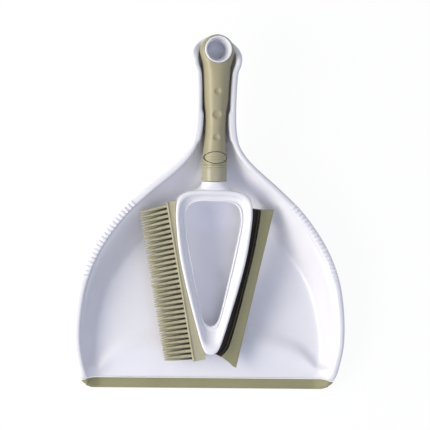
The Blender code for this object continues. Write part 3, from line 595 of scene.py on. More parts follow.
def floor_height(y):
    """The floor's upper face: ramp, drop, basin and climb."""
    if y < CREASE:
        return FLOOR_THICKNESS + RAMP_RISE * (y - FRONT_EDGE) / (CREASE - FRONT_EDGE)
    if y < BASIN_FRONT:
        drop = smoothstep((y - CREASE) / (BASIN_FRONT - CREASE))
        return FLOOR_THICKNESS + RAMP_RISE * (1 - drop)
    if y < BASIN_BACK:
        return FLOOR_THICKNESS
    climb = axis_height(y) - CHANNEL_DEPTH - FLOOR_THICKNESS
    return FLOOR_THICKNESS + climb * smoothstep((y - BASIN_BACK) / CHANNEL_CLIMB)


def rim_line(y):
    """The rim's top where it isn't lowered."""
    return axis_height(y) + level(rim_above_axis, y)


def rim_height(y, floor):
    """The rim's top, with the quarter ellipse near the lip."""
    full = rim_line(y)
    if y >= NOSE_END:
        return full
    reach = (NOSE_END - y) / (NOSE_END - FRONT_EDGE)
    nose = floor + NOSE_HEIGHT
    return nose + (full - nose) * sqrt(max(0.0, 1 - reach**2))


def nose_lead(x):
    """Forward sweep of the shell's front corners."""
    return 0.0025 * smoothstep((abs(x) - CORNER) / (LIP_HALF_WIDTH - CORNER))


def lug_step(y):
    """Inward step of the channel's wall at the two clip lugs that hold the brush."""
    return LUG_STEP * (smoothstep((y - LUG_FRONT) / LUG_EASE)
                       - smoothstep((y - LUG_BACK) / LUG_EASE))


for label, height in (("floor", floor_height(0.25)), ("rim", rim_line(0.25))):
    print(label, "in the channel:", round(height, 4))

# %% [markdown]
# ### One section, many stations
# Each section runs from the centre line over the floor, up the wall in a soft S, round the
# rolled rim and down its outside. In the channel the S gives way to a hollow that is steepest at
# the top. The stations follow the side and then turn round the handle's end.
# %% Lay out the sections
END_ROUND = 0.0226              # radius of the handle's end
END_CENTRE = Vector((0, PAN_LENGTH - END_ROUND, 0))


def side_station(y):
    """A point on the rim's outer edge and the direction outwards, on the right side."""
    half_width, slope = curve(side_outline, y)
    outward = Vector((1, -slope * smoothstep(y / NOSE_END), 0))
    return Vector((half_width, y, 0)), outward.normalized()


def end_station(angle):
    """The same round the end of the handle."""
    outward = Vector((cos(angle), sin(angle), 0)) if angle < pi / 2 - 1e-6 else Vector((0, 1, 0))
    return END_CENTRE + END_ROUND * outward, outward


def pan_section(point, outward, dip=0.0, floor_columns=9, wall_columns=11, round_columns=4):
    """Half of the pan's upper face, from the centre line over the rim and down its outside."""
    rim = level(rim_width, point.y) + lug_step(point.y)
    run = level(wall_run, point.y) - lug_step(point.y)
    foot = point - (rim + run) * outward
    arch = level(row_arch, point.y)
    floor = floor_height(foot.y + arch)
    across = [k / floor_columns for k in range(floor_columns)]
    points = [Vector((foot.x * a, foot.y + arch * sqrt(1 - a**2), floor)) for a in across]
    rim_top = rim_height(point.y, floor) - dip
    scale = (rim_top - floor) / (rim_line(point.y) - floor)
    drop = RIM_ROUND * scale
    power, sway = level(wall_power, point.y), level(wall_sway, point.y)
    for k in range(wall_columns):
        a = sin(pi / 2 * k / wall_columns)
        place = foot + run * a * outward
        climb = (1 - sway) * (1 - (1 - a**power) ** (1 / power)) + sway * smoothstep(a)
        points.append(Vector((place.x, place.y, floor + (rim_top - drop - floor) * climb)))
    turn = steps(0, pi / 2, round_columns)
    inner = [(rim - RIM_ROUND * (1 - cos(a)), 1 - sin(a)) for a in turn]
    outer = [(RIM_ROUND * (1 - cos(a)), 1 - sin(a)) for a in reversed(turn)]
    for inset, down in inner + outer:
        place = point - inset * outward
        points.append(Vector((place.x, place.y, rim_top - down * drop)))
    for part in (0.5, 1.0):
        fall = drop + part * (RIM_DROP - RIM_ROUND) * scale
        points.append(Vector((point.x, point.y, rim_top - fall)))
    fade = 1 - smoothstep((point.y - FRONT_EDGE) / 0.016)
    for place in points:
        place.y -= nose_lead(place.x) * fade
    return points


nose = [FRONT_EDGE, 0.0098, 0.0105, 0.0115, 0.0125, 0.014, 0.016, 0.0185, 0.021, 0.024,
        0.027, 0.030, 0.034, 0.0375, NOSE_END]
sections = [pan_section(*side_station(y)) for y in nose + steps(0.0435, side_outline[-1][0], 96)]
END_DIP = 0.0158                # the rim is this much lower at the very end, under the brush
for angle in steps(radians(-28), pi / 2, 22)[1:]:
    dip = END_DIP * smoothstep((angle - radians(-5)) / radians(60))
    sections.append(pan_section(*end_station(angle), dip=dip))
print("sections:", len(sections), "points in each:", len(sections[0]))

# %% [markdown]
# ### Mirror, thicken and smooth
# Only the right half is laid out, since the tool is symmetrical. The half sheet is mirrored and
# joined on the centre line, its normals are made to agree, and only then does a Solidify
# modifier give the two-millimetre wall: done in the other order, the inner face could turn
# inside out. One level of subdivision rounds the free edges as a mould would.
# %% Pan body
half = skin(sections)
bmesh.ops.mirror(half, geom=half.verts[:] + half.edges[:] + half.faces[:], matrix=Matrix(),
                 merge_dist=1e-5, axis="X")
bmesh.ops.remove_doubles(half, verts=half.verts, dist=1e-6)
pan = make_piece("pan_body", half, pan_place, "pan", "pan_white", ["pan_shell"], sharp=60)
wall = pan.modifiers.new("wall", "SOLIDIFY")
wall.thickness, wall.offset, wall.use_even_offset = FLOOR_THICKNESS, -1, True
subdivide(pan, 1)
up = sum(p.normal.z for p in pan.data.polygons if abs(p.center.x) < 0.03) > 0
print("pan faces up:", up)

# %% [markdown]
# ## The comb on the rim
# Each shoulder of the rim carries a row of short bars that comb hair and fluff out of the
# bristles. They stand on top of the rolled edge at an even pitch, so each is laid at its own
# place and direction on the curve. A bar is four sections of one closed line, and the outer two
# are drawn in towards its heart, which rounds its sides.
# %% Comb bars on both shoulders
COMB_FRONT, COMB_BACK, COMB_PITCH = 0.099, 0.166, 0.0041
comb = bmesh.new()
bar_y, bars = COMB_FRONT, 0
while bar_y <= COMB_BACK:
    edge, outward = side_station(bar_y)
    edge.z = rim_line(bar_y)
    upward = Vector((0, -AXIS_SLOPE, 1)).normalized()
    along = outward.cross(upward).normalized()
    width = level(rim_width, bar_y)
    line = [(0.0008, -0.0016), (0.0002, -0.0010), (0.0005, 0.0002), (0.0014, 0.0007),
            (width - 0.0016, 0.0007), (width - 0.0008, 0.0003), (width - 0.0001, -0.0010),
            (0.0016, -0.0012)]
    line.append(line[0])
    heart = (0.45 * width, -0.0006)
    slices = []
    for side, draw in ((-0.0010, 0.12), (-0.0007, 0.0), (0.0007, 0.0), (0.0010, 0.12)):
        slices.append([edge + side * along - (i + (heart[0] - i) * draw * 0.3) * outward
                       + (h + (heart[1] - h) * draw * 2) * upward for i, h in line])
    bar_mesh = bpy.data.meshes.new("bar")
    bar = skin(slices, close_ends=True)
    bar.to_mesh(bar_mesh)
    bar.free()
    comb.from_mesh(bar_mesh)
    bpy.data.meshes.remove(bar_mesh)
    bar_y += COMB_PITCH / hypot(1, curve(side_outline, bar_y)[1])
    bars += 1
bmesh.ops.mirror(comb, geom=comb.verts[:] + comb.edges[:] + comb.faces[:], matrix=Matrix(),
                 merge_dist=0, axis="X")
make_piece("rim_comb", comb, pan_place, "pan", "pan_white")
print("comb bars on each shoulder:", bars)

# %% [markdown]
# ## The rubber lip
# A strip of soft rubber closes the gap between the pan and an uneven floor. It is moulded on to
# the shell's front edge, follows it up at both ends and tapers to points there. Its section is a
# wedge, thin in front. The sections stand square to the shell's front line, and the length
# along that line says where the taper begins.
# %% Lip strip
front = [Vector((min(p.x, LIP_HALF_WIDTH), 0, p.z)) for p in
         pan_section(*side_station(FRONT_EDGE), floor_columns=24, wall_columns=16)[:-2]]
front_line = [Vector((-p.x, 0, p.z)) for p in reversed(front[1:])] + front
far = [0.0]
for near_point, next_point in zip(front, front[1:]):
    far.append(far[-1] + (next_point - near_point).length)
from_middle = far[:0:-1] + far
TIP = 0.0125                    # length over which each end of the strip narrows
wedge = [(0, 0), (0, 0.0005), (0.02, 0.0008), (0.16, 0.0014), (0.33, 0.0020), (0.66, 0.0022),
         (0.97, 0.0023), (1, 0.0021), (1, 0), (0.5, 0), (0, 0)]
strip = []
for i, place in enumerate(front_line):
    behind, ahead = front_line[max(i - 1, 0)], front_line[min(i + 1, len(front_line) - 1)]
    along = (ahead - behind).normalized()
    upward = Vector((-along.z, 0, along.x))
    low = place - upward * FLOOR_THICKNESS
    rear = 0.009 - nose_lead(place.x)
    taper = 0.80 * rear * max(0.0, 1 - (far[-1] - from_middle[i]) / TIP) ** 1.6
    strip.append([Vector((low.x, taper + (rear - taper) * part, low.z)) + upward * thick
                  for part, thick in wedge])
lip = make_piece("lip_rubber", skin(strip, close_ends=True), pan_place, "pan", "lip_rubber",
                 ["lip_strip"], sharp=50)
soften(lip, 0.00025, angle=50)
print("front line in mm:", round(2000 * far[-1], 1))

# %% [markdown]
# ## The grip
# The grip is a rubber sleeve moulded over the handle: slim at the waist, swelling to a flat round
# end with the hang eye. Its section goes from an ellipse to a softly squared one, so the end
# feels flat in the hand. The three dimples are pressed in by lowering the skin's points, which
# keeps their edges as soft as rubber edges are.
# %% Grip sleeve
half_widths = [(0.2000, 0.0111), (0.206, 0.0110), (0.2115, 0.0106), (0.2245, 0.0094),
               (0.2335, 0.0091), (0.2455, 0.0096), (0.2575, 0.0109), (0.2715, 0.0117),
               (0.283, 0.0123), (0.2895, 0.0129), (0.295, 0.0144), (0.300, 0.01557)]
half_heights = [(0.2000, 0.0111), (0.206, 0.0110), (0.2115, 0.0108), (0.2245, 0.0102),
                (0.2335, 0.0099), (0.2455, 0.0102), (0.2575, 0.0109), (0.2715, 0.0113),
                (0.283, 0.0110), (0.295, 0.0102), (0.304, 0.0096), (0.310, 0.0086),
                (0.3134, 0.0070), (0.3154, 0.0050), (0.3165, 0.0028)]
dimples = [(0.2246, 0.0032), (0.2449, 0.00425), (0.2655, 0.0032)]     # (place, radius)
EYE_CENTRE, EYE_RADIUS = 0.3009, 0.0156


def grip_section(y, sides=112):
    """A section of the grip, with the parts of the dimples that fall on it."""
    width = level(half_widths, y)
    if y > half_widths[-1][0]:
        width = sqrt(max(EYE_RADIUS**2 - (y - EYE_CENTRE) ** 2, 0.0022**2))
    power = 2.0 + 0.5 * smoothstep((y - 0.280) / 0.020)
    points = oval(y, width, level(half_heights, y), sides, power)
    for point in points:
        for place, radius in dimples:
            near, depth = hypot(point.x, y - place) / radius, 0.46 * radius
            if point.z > 0 and near < 1.06:     # a bowl, eased into the skin round its edge
                point.z -= depth * (1 - near**2 if near < 0.94 else 8.1 * (1.06 - near) ** 2)
    return points


grip_ys = [0.2000, 0.2003] + steps(0.2010, half_widths[-1][0], 150)
grip_ys += [EYE_CENTRE + EYE_RADIUS * sin(a) for a in steps(0, radians(88), 30)]
grip = make_piece("grip_rubber", skin([grip_section(y) for y in grip_ys], close_ends=True),
                  brush_place, "handle", "grip_rubber", ["grip_sleeve"])

# %% [markdown]
# ### Openings in the grip
# Three shapes are taken out of the grip: the round that the core fills, the well where the
# button sinks, and the eye that lets the brush hang. Each tool is made where it cuts and is gone
# afterwards. The last step rounds the fresh edges by a fifth of a millimetre.
# %% Cut the bore, the button's well and the eye
BUTTON_CENTRE = 0.2066
WELL = (0.0107, 0.0056, BUTTON_CENTRE)                  # half sizes and place of its outline
LINER_CENTRE, LINER_RADIUS, LINER_BORE = 0.3027, 0.0120, 0.0105
TUBE_RADIUS, TUBE_END = 0.0090, 0.2180                  # of the core's tube
THROUGH = 0.014                 # a tool from minus this to plus this cuts right through


def oval_outline(half_x, half_y, centre_y, sides=72):
    """An ellipse on the brush's axis, as (x, y) points."""
    angles = [2 * pi * k / sides for k in range(sides)]
    return [(half_x * cos(a), centre_y + half_y * sin(a)) for a in angles]


bore = TUBE_RADIUS + GAP
carve(grip, skin([oval(y, bore, bore, 48) for y in (0.198, TUBE_END + GAP)], close_ends=True))
carve(grip, column(oval_outline(*WELL), 0.0016, THROUGH))
eye = LINER_RADIUS + GAP
carve(grip, column(oval_outline(eye, eye, LINER_CENTRE, 96), -THROUGH, THROUGH))
soften(grip, 0.0002, angle=45)
print("grip after its cuts:", len(grip.data.polygons), "faces")

# %% [markdown]
# ## The collar
# A sage plastic ring closes the grip against the head. A fine groove near its rear end is where
# the sleeve was shut off in the tool. A ring is the simplest thing to turn: one closed line of
# points, spun a full circle round the brush's axis.
# %% Turned collar
ring_line = [(0.1853, 0.0093), (0.1853, 0.0107), (0.1854, 0.01095), (0.1856, 0.0111),
             (0.1860, 0.0112), (0.1919, 0.0112), (0.1974, 0.0112), (0.19765, 0.0111),
             (0.1978, 0.0108), (0.1982, 0.0108), (0.19835, 0.0111), (0.1986, 0.0112),
             (0.1991, 0.0112), (0.1995, 0.0111), (0.1997, 0.0108), (0.1997, 0.0093)]
ring_line.append(ring_line[0])
make_piece("socket_ring", turned([Vector((0, y, r)) for y, r in ring_line], (0, 1, 0), around=96),
           brush_place, "handle", "collar_sage", ["socket_collar"])

# %% [markdown]
# ## The core and the eye's liner
# Under the rubber runs a white core. Its front is a tube with a square socket for the head's
# spigot, and its rear carries the liner that shows as a white ring in the hang eye. Only the
# socket and the ring are seen, but both are made whole, because the head comes off.
# %% Core tube with its socket
SPIGOT = (0.0044, 0.0034, 0.2160)                       # half width, half height and rear end
tube = skin([oval(y, TUBE_RADIUS, TUBE_RADIUS, 64) for y in (0.1856, 0.2000, TUBE_END)],
            close_ends=True)
core = make_piece("core_tube", tube, brush_place, "handle", "core_white", ["handle_core"])
wide, tall, rear = (size + GAP for size in SPIGOT)
carve(core, block((-wide, 0.180, -tall), (wide, rear, tall)))
carve(core, column(oval_outline(*WELL), 0.0021, THROUGH))
for side in (-1, 1):            # the two slots that let the button's legs through
    inner, outer = sorted((side * 0.0046, side * 0.0063))
    carve(core, block((inner, BUTTON_CENTRE - 0.0025, -0.006),
                      (outer, BUTTON_CENTRE + 0.0025, THROUGH)))
carve(core, block((-0.0059, 0.1965, -THROUGH), (0.0059, 0.2190, -SPIGOT[1])))
soften(core, 0.0002, angle=45)
print("core after its cuts:", len(core.data.polygons), "faces")

# %% [markdown]
# The rest of the core is a plain rod that thins through the waist. The liner is turned about an
# upright line through the eye, from a closed section with a rounded lip in front, and its wall
# grows towards the back, so the hole narrows.
# %% Core rod and eye liner
rod = [(0.2182, 0.0084, 0.0084), (0.2250, 0.0077, 0.0077), (0.234, 0.0066, 0.0066),
       (0.245, 0.0062, 0.0062), (0.270, 0.0075, 0.0075), (0.2900, 0.0084, 0.0070)]
make_piece("core_rod", skin([oval(y, w, h, 40) for y, w, h in rod], close_ends=True),
           brush_place, "handle", "core_white")
lip_turn = steps(0, pi, 8)
middle, half_wall = (LINER_RADIUS + LINER_BORE) / 2, (LINER_RADIUS - LINER_BORE) / 2
section = [(middle + half_wall * cos(a), 0.0108 - half_wall + half_wall * sin(a))
           for a in lip_turn]
section += [(LINER_RADIUS - 0.0046, -0.0080), (LINER_RADIUS - 0.0045, -0.0095),
            (LINER_RADIUS - 0.0030, -0.0098), (LINER_RADIUS, -0.0098)]
section.append(section[0])
liner = turned([Vector((r, LINER_CENTRE, z)) for r, z in section], (0, 0, 1),
               (0, LINER_CENTRE, 0), around=96)
make_piece("eye_liner", liner, brush_place, "handle", "core_white")

# %% [markdown]
# ## The release button
# The button is an oval cap that continues the grip's round, with three ribs across it for the
# thumb. Its two legs reach down past the spigot and push the catch. The cap is laid out as
# rings, from the middle outwards, over a rounded edge, down the skirt and back inside.
# %% Button cap
BUTTON_HALF = (0.0096, 0.0050)
BUTTON_TOP, BUTTON_WALL = 0.0113, 0.0018
FACE, EDGE_ROUND = 0.93, 0.0005                         # where the edge's round starts, its height
RIB_PITCH, RIB_HEIGHT = 0.0026, 0.0004
SKIRT, SKIRT_DEPTH = 0.0058, 0.0017                     # it clears the spigot when it is pressed


def cap_point(part, angle, radius, down=0.0):
    """A point of the cap: part of the way out from the middle, on a round of a given radius."""
    x = BUTTON_HALF[0] * part * cos(angle)
    y = BUTTON_HALF[1] * part * sin(angle)
    return Vector((x, BUTTON_CENTRE + y, sqrt(radius**2 - x**2) - down))


def rib_height(y):
    """Three soft ribs across the cap."""
    nearest = min(abs(y - BUTTON_CENTRE - k * RIB_PITCH) for k in (-1, 0, 1))
    return RIB_HEIGHT * (1 - smoothstep((nearest - 0.00015) / 0.00055))


angles = [2 * pi * k / 96 for k in range(97)]
rings = []
for part in steps(0.0, FACE, 30):
    ring = [cap_point(part, a, BUTTON_TOP) for a in angles]
    for point in ring:
        point.z += rib_height(point.y) * (1 - smoothstep((part - 0.80) / 0.13))
    rings.append(ring)
for turn in steps(0, pi / 2, 5)[1:]:
    part, down = FACE + (1 - FACE) * sin(turn), EDGE_ROUND * (1 - cos(turn))
    rings.append([cap_point(part, a, BUTTON_TOP, down) for a in angles])
skirt_ends = [min(SKIRT, cap_point(1.0, a, BUTTON_TOP, SKIRT_DEPTH).z) for a in angles]
for part in (1.0, 0.84):
    rings.append([Vector((*cap_point(part, a, BUTTON_TOP).xy, z))
                  for a, z in zip(angles, skirt_ends)])
for part in (0.84, 0.5, 0.0):
    rings.append([cap_point(part, a, BUTTON_TOP - BUTTON_WALL) for a in angles])
cap = skin(rings)
for side in (-1, 1):
    inner, outer = sorted((side * 0.0049, side * 0.0060))
    block((inner, BUTTON_CENTRE - 0.0022, -0.0036), (outer, BUTTON_CENTRE + 0.0022, 0.0088),
          0.0002, into=cap)
make_piece("thumb_button", cap, brush_place, "button", "button_sage", ["release_button"])

# %% [markdown]
# ## The head's frame
# The frame is a dished ring: a high rounded rim outside, and a slope that falls to a thin lip
# with a small bead round the window. Its outline and its window are closed curves through the
# same number of points, so a section can be laid between each pair. Subdivision turns the coarse
# section into a soft one without adding a bulge, which is what a polished mould gives.
# %% Outline and window of the frame
frame_edge = [(0.0, 0.1773), (0.0140, 0.1773), (0.0262, 0.1750), (0.0330, 0.1685),
              (0.0345, 0.1590), (0.0340, 0.1470), (0.0308, 0.1215), (0.0250, 0.0955),
              (0.0178, 0.0693), (0.0104, 0.0441), (0.0068, 0.0348), (0.0036, 0.0314),
              (0.0, 0.0306)]
window_edge = [(0.0, 0.1674), (0.0105, 0.1673), (0.0185, 0.1655), (0.0232, 0.1608),
               (0.0250, 0.1530), (0.0244, 0.1440), (0.0203, 0.1224), (0.0164, 0.1030),
               (0.0127, 0.0850), (0.0092, 0.0690), (0.0069, 0.0615), (0.0038, 0.0572),
               (0.0, 0.0558)]


def closed_curve(half_outline, per_span=6):
    """A closed loop through a half outline and its mirror image, by Catmull-Rom spans."""
    right = [Vector((x, y, 0)) for x, y in half_outline]
    points = right + [Vector((-p.x, p.y, 0)) for p in reversed(right[1:-1])]
    loop = []
    for i in range(len(points)):
        p0, p1, p2, p3 = (points[(i + k) % len(points)] for k in (-1, 0, 1, 2))
        for t in (k / per_span for k in range(per_span)):
            loop.append(0.5 * (2 * p1 + (p2 - p0) * t + (2 * p0 - 5 * p1 + 4 * p2 - p3) * t**2
                               + (3 * p1 - p0 - 3 * p2 + p3) * t**3))
    return loop


frame_loop = closed_curve(frame_edge)
window_loop = closed_curve(window_edge)
print("points round the frame:", len(frame_loop))

# %% Frame ring
upper = [                       # (part of the way from the outline to the window, height)
    (0.0, 0.0062), (0.0, 0.0074), (0.05, 0.0083), (0.16, 0.0086), (0.30, 0.0084),
    (0.40, 0.0070), (0.50, 0.0050), (0.64, 0.0035), (0.80, 0.0026), (0.865, 0.0024),
    (0.88, 0.0032), (0.90, 0.0035), (0.975, 0.0034), (1.0, 0.0024)]
dish = upper + [(across, -height) for across, height in reversed(upper)]
dish.append(dish[0])
ring = []
for edge, lip_point in zip(frame_loop + frame_loop[:1], window_loop + window_loop[:1]):
    ring.append([edge.lerp(lip_point, across) + Vector((0, 0, height))
                 for across, height in dish])
head_frame = make_piece("frame_ring", skin(ring), brush_place, "head", "frame_white",
                        ["head_frame"], sharp=80)
subdivide(head_frame, 1)

# %% [markdown]
# The neck swells from the frame's top to the collar's width, and the square spigot behind it has
# a notch underneath for the catch. The neck is a loft of ovals, and the spigot a block with a
# smaller block cut from it.
# %% Neck and spigot
NECK_FRONT = 0.1755
neck_knots = [(NECK_FRONT, 0.0200, 0.0066), (0.1772, 0.0180, 0.0070), (0.1783, 0.0158, 0.0076),
              (0.1800, 0.0136, 0.0086), (0.1824, 0.0119, 0.0100), (0.1848, 0.0111, 0.0111)]
widths = [(y, w) for y, w, h in neck_knots]
heights = [(y, h) for y, w, h in neck_knots]
neck = []
for y in steps(NECK_FRONT, 0.1846, 18):
    power = 2.3 - 0.3 * smoothstep((y - NECK_FRONT) / 0.010)
    neck.append(oval(y, level(widths, y), level(heights, y), 64, power))
neck.append(oval(0.1848, 0.0109, 0.0109, 64))
make_piece("head_neck", skin(neck, close_ends=True), brush_place, "head", "frame_white", sharp=50)
wide, tall, rear = SPIGOT
spigot = make_piece("head_spigot", block((-wide, 0.184, -tall), (wide, rear, tall), 0.0004),
                    brush_place, "head", "frame_white")
carve(spigot, block((-0.009, 0.2025, -0.007), (0.009, 0.2075, -0.0018)))

# %% [markdown]
# ## The bristle bar
# The bristles stand in a rubber bar that grips the frame's left side. A low bead runs along the
# bar where the bristles start. The bar is one section drawn along a straight line, and the
# frame's outline, grown by a small gap, is cut from it so that the two fit together.
# %% Bar along the frame's left side


def grown_outline(loop, margin):
    """A closed outline moved outwards, as (x, y) points."""
    centre = sum(loop, Vector()) / len(loop)
    points = []
    for i, point in enumerate(loop):
        along = (loop[(i + 1) % len(loop)] - loop[i - 1]).normalized()
        normal = Vector((along.y, -along.x, 0))
        if normal.dot(point - centre) < 0:
            normal.negate()
        points.append((point + margin * normal).xy[:])
    return points


def clear_frame(piece, sharp):
    """Cut the frame, grown by a small gap, out of a piece that fits against it."""
    carve(piece, column(grown_outline(frame_loop, GAP), -THROUGH, THROUGH), sharp)


bar_top, bar_foot = Vector((-0.0432, 0.1656, 0)), Vector((-0.0159, 0.0243, 0))
bar_length = (bar_foot - bar_top).length
along_bar = (bar_foot - bar_top).normalized()
inward = Vector((-along_bar.y, along_bar.x, 0))
TALL = 0.0063
bead = [(0.0, 0.0048), (0.0, TALL - 0.0003), (0.0001, TALL + 0.0004), (0.0005, TALL + 0.0008),
        (0.0012, TALL + 0.0008), (0.0016, TALL + 0.0004), (0.0019, TALL), (0.0060, TALL),
        (0.0118, TALL)]
bar_line = bead + [(x, -z) for x, z in reversed(bead)]
bar_line.append(bar_line[0])
slices = []
for run in (0.0, 0.0003, 0.5 * bar_length, bar_length - 0.0003, bar_length):
    start = bar_top + along_bar * run
    slices.append([start + inward * x + Vector((0, 0, z)) for x, z in bar_line])
bar = make_piece("bristle_strip", skin(slices, close_ends=True), brush_place, "head",
                 "bristle_rubber", sharp=50)
clear_frame(bar, 50)
soften(bar, 0.00025, angle=50)
print("bar length in mm:", round(bar_length * 1000, 1))

# %% [markdown]
# ## The bristles
# There are four staggered rows of thirty-one rubber bristles. Each is nearly a rod for half of
# its length and then tapers to a small round tip. It is made once: a cone is cut into rings
# along its length, and each ring is scaled to the radius it should have. The copies are placed
# in a loop with a small lean that opens the rows like a fan, and a seeded random bend, so that
# they look moulded and handled and yet come out the same on every run.
# %% One bristle
ROOT, LENGTH = 0.00150, 0.0260  # radius at the root, and length
taper = [(0.0, 1.0), (0.3, 0.95), (0.55, 0.80), (0.75, 0.62), (0.9, 0.43), (0.97, 0.28),
         (1.0, 0.12)]           # (part of the length, part of the root's radius)
one = bmesh.new()
bmesh.ops.create_cone(one, cap_ends=True, segments=10, radius1=ROOT, radius2=ROOT, depth=LENGTH)
bmesh.ops.translate(one, verts=one.verts, vec=(0, 0, LENGTH / 2))
long_edges = [e for e in one.edges if e.calc_length() > LENGTH / 2]
bmesh.ops.subdivide_edges(one, edges=long_edges, cuts=6)
for vert in one.verts:
    part = min(1.0, vert.co.z / LENGTH)
    part = 1 - (1 - part) ** 1.5            # rings stand closer towards the tip
    scale = level(taper, part)
    vert.co = (vert.co.x * scale, vert.co.y * scale, part * LENGTH)
bristle_mesh = bpy.data.meshes.new("bristle")
one.to_mesh(bristle_mesh)
one.free()
print("faces in one bristle:", len(bristle_mesh.polygons))

# %% [markdown]
# The gaps between the roots of the lower rows are painted dark, as painted shade. Each bristle
# below the top row carries an attribute that falls from its root to its tip, and the rubber's
# colour is turned dark by it. The attribute is stored on the mesh, so it moves with every bend.
# %% Painted shade at the roots
# nearly black: painted shade between the roots of the lower rows
PAINTED_ROOT_SHADE = tone(32, 29, 23)
tree = finishes["bristle_rubber"][1].node_tree
shader = tree.nodes["Principled BSDF"]
clean = shader.inputs["Base Color"].links[0].from_socket
held = tree.nodes.new("ShaderNodeAttribute")
held.attribute_name = "painted_root_shade"
feed(tree, shader.inputs["Base Color"], blend_colour(tree, held.outputs["Fac"], clean, PAINTED_ROOT_SHADE))
print("dust colour:", [round(v, 3) for v in PAINTED_ROOT_SHADE[:3]])

# %% Four rows of bristles
ROWS, PER_ROW, MARGIN = 4, 31, 0.0030                   # the margin is kept at the bar's ends
FAN = radians(5)                # lean of the first and the last bristle
chance = Random(7)
pitch = (bar_length - 2 * MARGIN) / (PER_ROW - 0.5)
top_row = TALL - ROOT - GAP
bristles = bmesh.new()
painted_root_shade = bristles.verts.layers.float.new("painted_root_shade")
for row in range(ROWS):
    height = top_row * (1 - 2 * row / (ROWS - 1))
    for k in range(PER_ROW):
        run = MARGIN + (k + 0.5 * (row % 2)) * pitch
        lean = FAN * (1 - 2 * run / bar_length) + radians(chance.uniform(-0.35, 0.35))
        outward = (-inward * cos(lean) + along_bar * sin(lean)).normalized()
        across = Vector((0, 0, 1)).cross(outward)
        root = bar_top + along_bar * run + inward * 0.001 + Vector((0, 0, height))
        first = len(bristles.verts)
        bristles.from_mesh(bristle_mesh)
        bristles.verts.ensure_lookup_table()
        sway, lift = chance.uniform(-0.0003, 0.0003), chance.uniform(-0.0003, 0.0002)
        reach = chance.uniform(0.975, 1.0)
        for vert in bristles.verts[first:]:
            out = vert.co.z * reach
            # painted root shade: full at the root, none from nine tenths of the length on
            vert[painted_root_shade] = 1 - smoothstep(out / (0.9 * LENGTH)) if row else 0.0
            bend = (out / LENGTH) ** 2
            vert.co = (root + outward * out + across * (vert.co.x + sway * bend)
                       + Vector((0, 0, vert.co.y + lift * bend)))
make_piece("bristle_rows", bristles, brush_place, "head", "bristle_rubber", sharp=60)
bpy.data.meshes.remove(bristle_mesh)
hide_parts("bristle_bar")

# %% [markdown]
# ## The squeegee
# The other side of the head is a flared blade that wipes. Its root is a trough beside the frame
# that ends in a thin ridge, and its nearly black colour is painted shade. Past a narrow groove
# comes the blade itself, which thins in a hollow curve to its edge. The ridge's line bends, so
# each section is laid along a curve, square to it. At the toe a round tool cuts both to an arc.
# %% Lines of the ridge and the edge
ridge_line = [(0.0416, 0.1612), (0.0400, 0.1470), (0.0352, 0.1180), (0.0296, 0.0930),
              (0.0240, 0.0690), (0.0176, 0.0450), (0.0148, 0.0365), (0.0104, 0.0310),
              (0.0055, 0.0272)]
edge_top, toe = Vector((0.0549, 0.1612, 0)), Vector((0.0238, 0.0186, 0))
runs = [0.0]
for (x0, y0), (x1, y1) in zip(ridge_line, ridge_line[1:]):
    runs.append(runs[-1] + hypot(x1 - x0, y1 - y0))
ridge_x = [(run, x) for run, (x, y) in zip(runs, ridge_line)]
ridge_y = [(run, y) for run, (x, y) in zip(runs, ridge_line)]


def ridge_station(run):
    """A point on the ridge, the direction outwards and the blade's edge beside it."""
    place = Vector((level(ridge_x, run), level(ridge_y, run), 0))
    near = min(max(run, 0.0002), runs[-1] - 0.0002)
    ahead = Vector((curve(ridge_x, near)[1], curve(ridge_y, near)[1], 0)).normalized()
    return place, Vector((-ahead.y, ahead.x, 0)), edge_top.lerp(toe, run / runs[-1])


def both_faces(top):
    """A closed section from its upper line, which is repeated below, the other way round."""
    ring = top + [(place, -z) for place, z in reversed(top)] + top[:1]
    return [Vector((place.x, place.y, z)) for place, z in ring]


print("ridge length in mm:", round(runs[-1] * 1000, 1))

# %% Root, painted nearly black as shade, with its ridge, then the blade
RIDGE = 0.0046                  # its height, low enough for the frame to shade it
TOE_ARC = (0.0398, 0.0398, -0.0068)                     # half sizes and place of the round tool
TOE_SIDE = -0.0088              # how far that tool stands to the side of the axis
trough = [                      # (distance outwards from the ridge's line, height)
    (-0.0095, 0.0010), (-0.0060, 0.0004), (-0.0018, 0.0004), (-0.0015, RIDGE - 0.0004),
    (-0.0012, RIDGE), (-0.0007, RIDGE), (-0.0004, RIDGE - 0.0004), (-0.0002, 0.0004),
    (0.0010, 0.0004)]
root_slices, slices = [], []
for run in steps(0.0, runs[-1], 64):
    place, out, edge = ridge_station(run)
    root_slices.append(both_faces([(place + out * across, height) for across, height in trough]))
    top = [(place + out * 0.0012, 0.0004), (place + out * 0.0014, 0.0036)]
    for part in (0.12, 0.2, 0.3, 0.4, 0.52, 0.65, 0.8, 0.95, 1.0):
        thick = 0.0008 + 0.0040 * (1 - part) ** 2
        top.append((place.lerp(edge, part), thick if part < 1 else 0.0004))
    slices.append(both_faces(top))
# the root's nearly black material is painted shade for the trough beside the frame
root = make_piece("blade_root", skin(root_slices, close_ends=True), brush_place, "head",
                  "painted_shade_rubber", sharp=40)
blade = make_piece("wiping_blade", skin(slices, close_ends=True), brush_place, "head",
                   "blade_rubber", sharp=40)
for piece in (root, blade):
    clear_frame(piece, 40)
    arc = [(x + TOE_SIDE, y) for x, y in oval_outline(*TOE_ARC, 160)]
    carve(piece, column(arc, -THROUGH, THROUGH), 40)
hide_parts("squeegee_blade")

# %% [markdown]
# ## The catch
# The catch is a strip of spring steel under the spigot, held at its rear, with a small wedge that
# stands in the spigot's notch. The CAD strip already has the right shape, so it stays and gets
# the rolled steel finish, and a very small bevel catches the light along its edges.
# %% Spring catch
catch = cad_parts["catch_spring"]
catch.data.materials.clear()
catch.data.materials.append(finishes["spring_steel"][1])
soften(catch, 0.00008, angle=40)
low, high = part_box("catch_spring")
print("catch length in mm:", round((high.y - low.y) * 1000, 1))

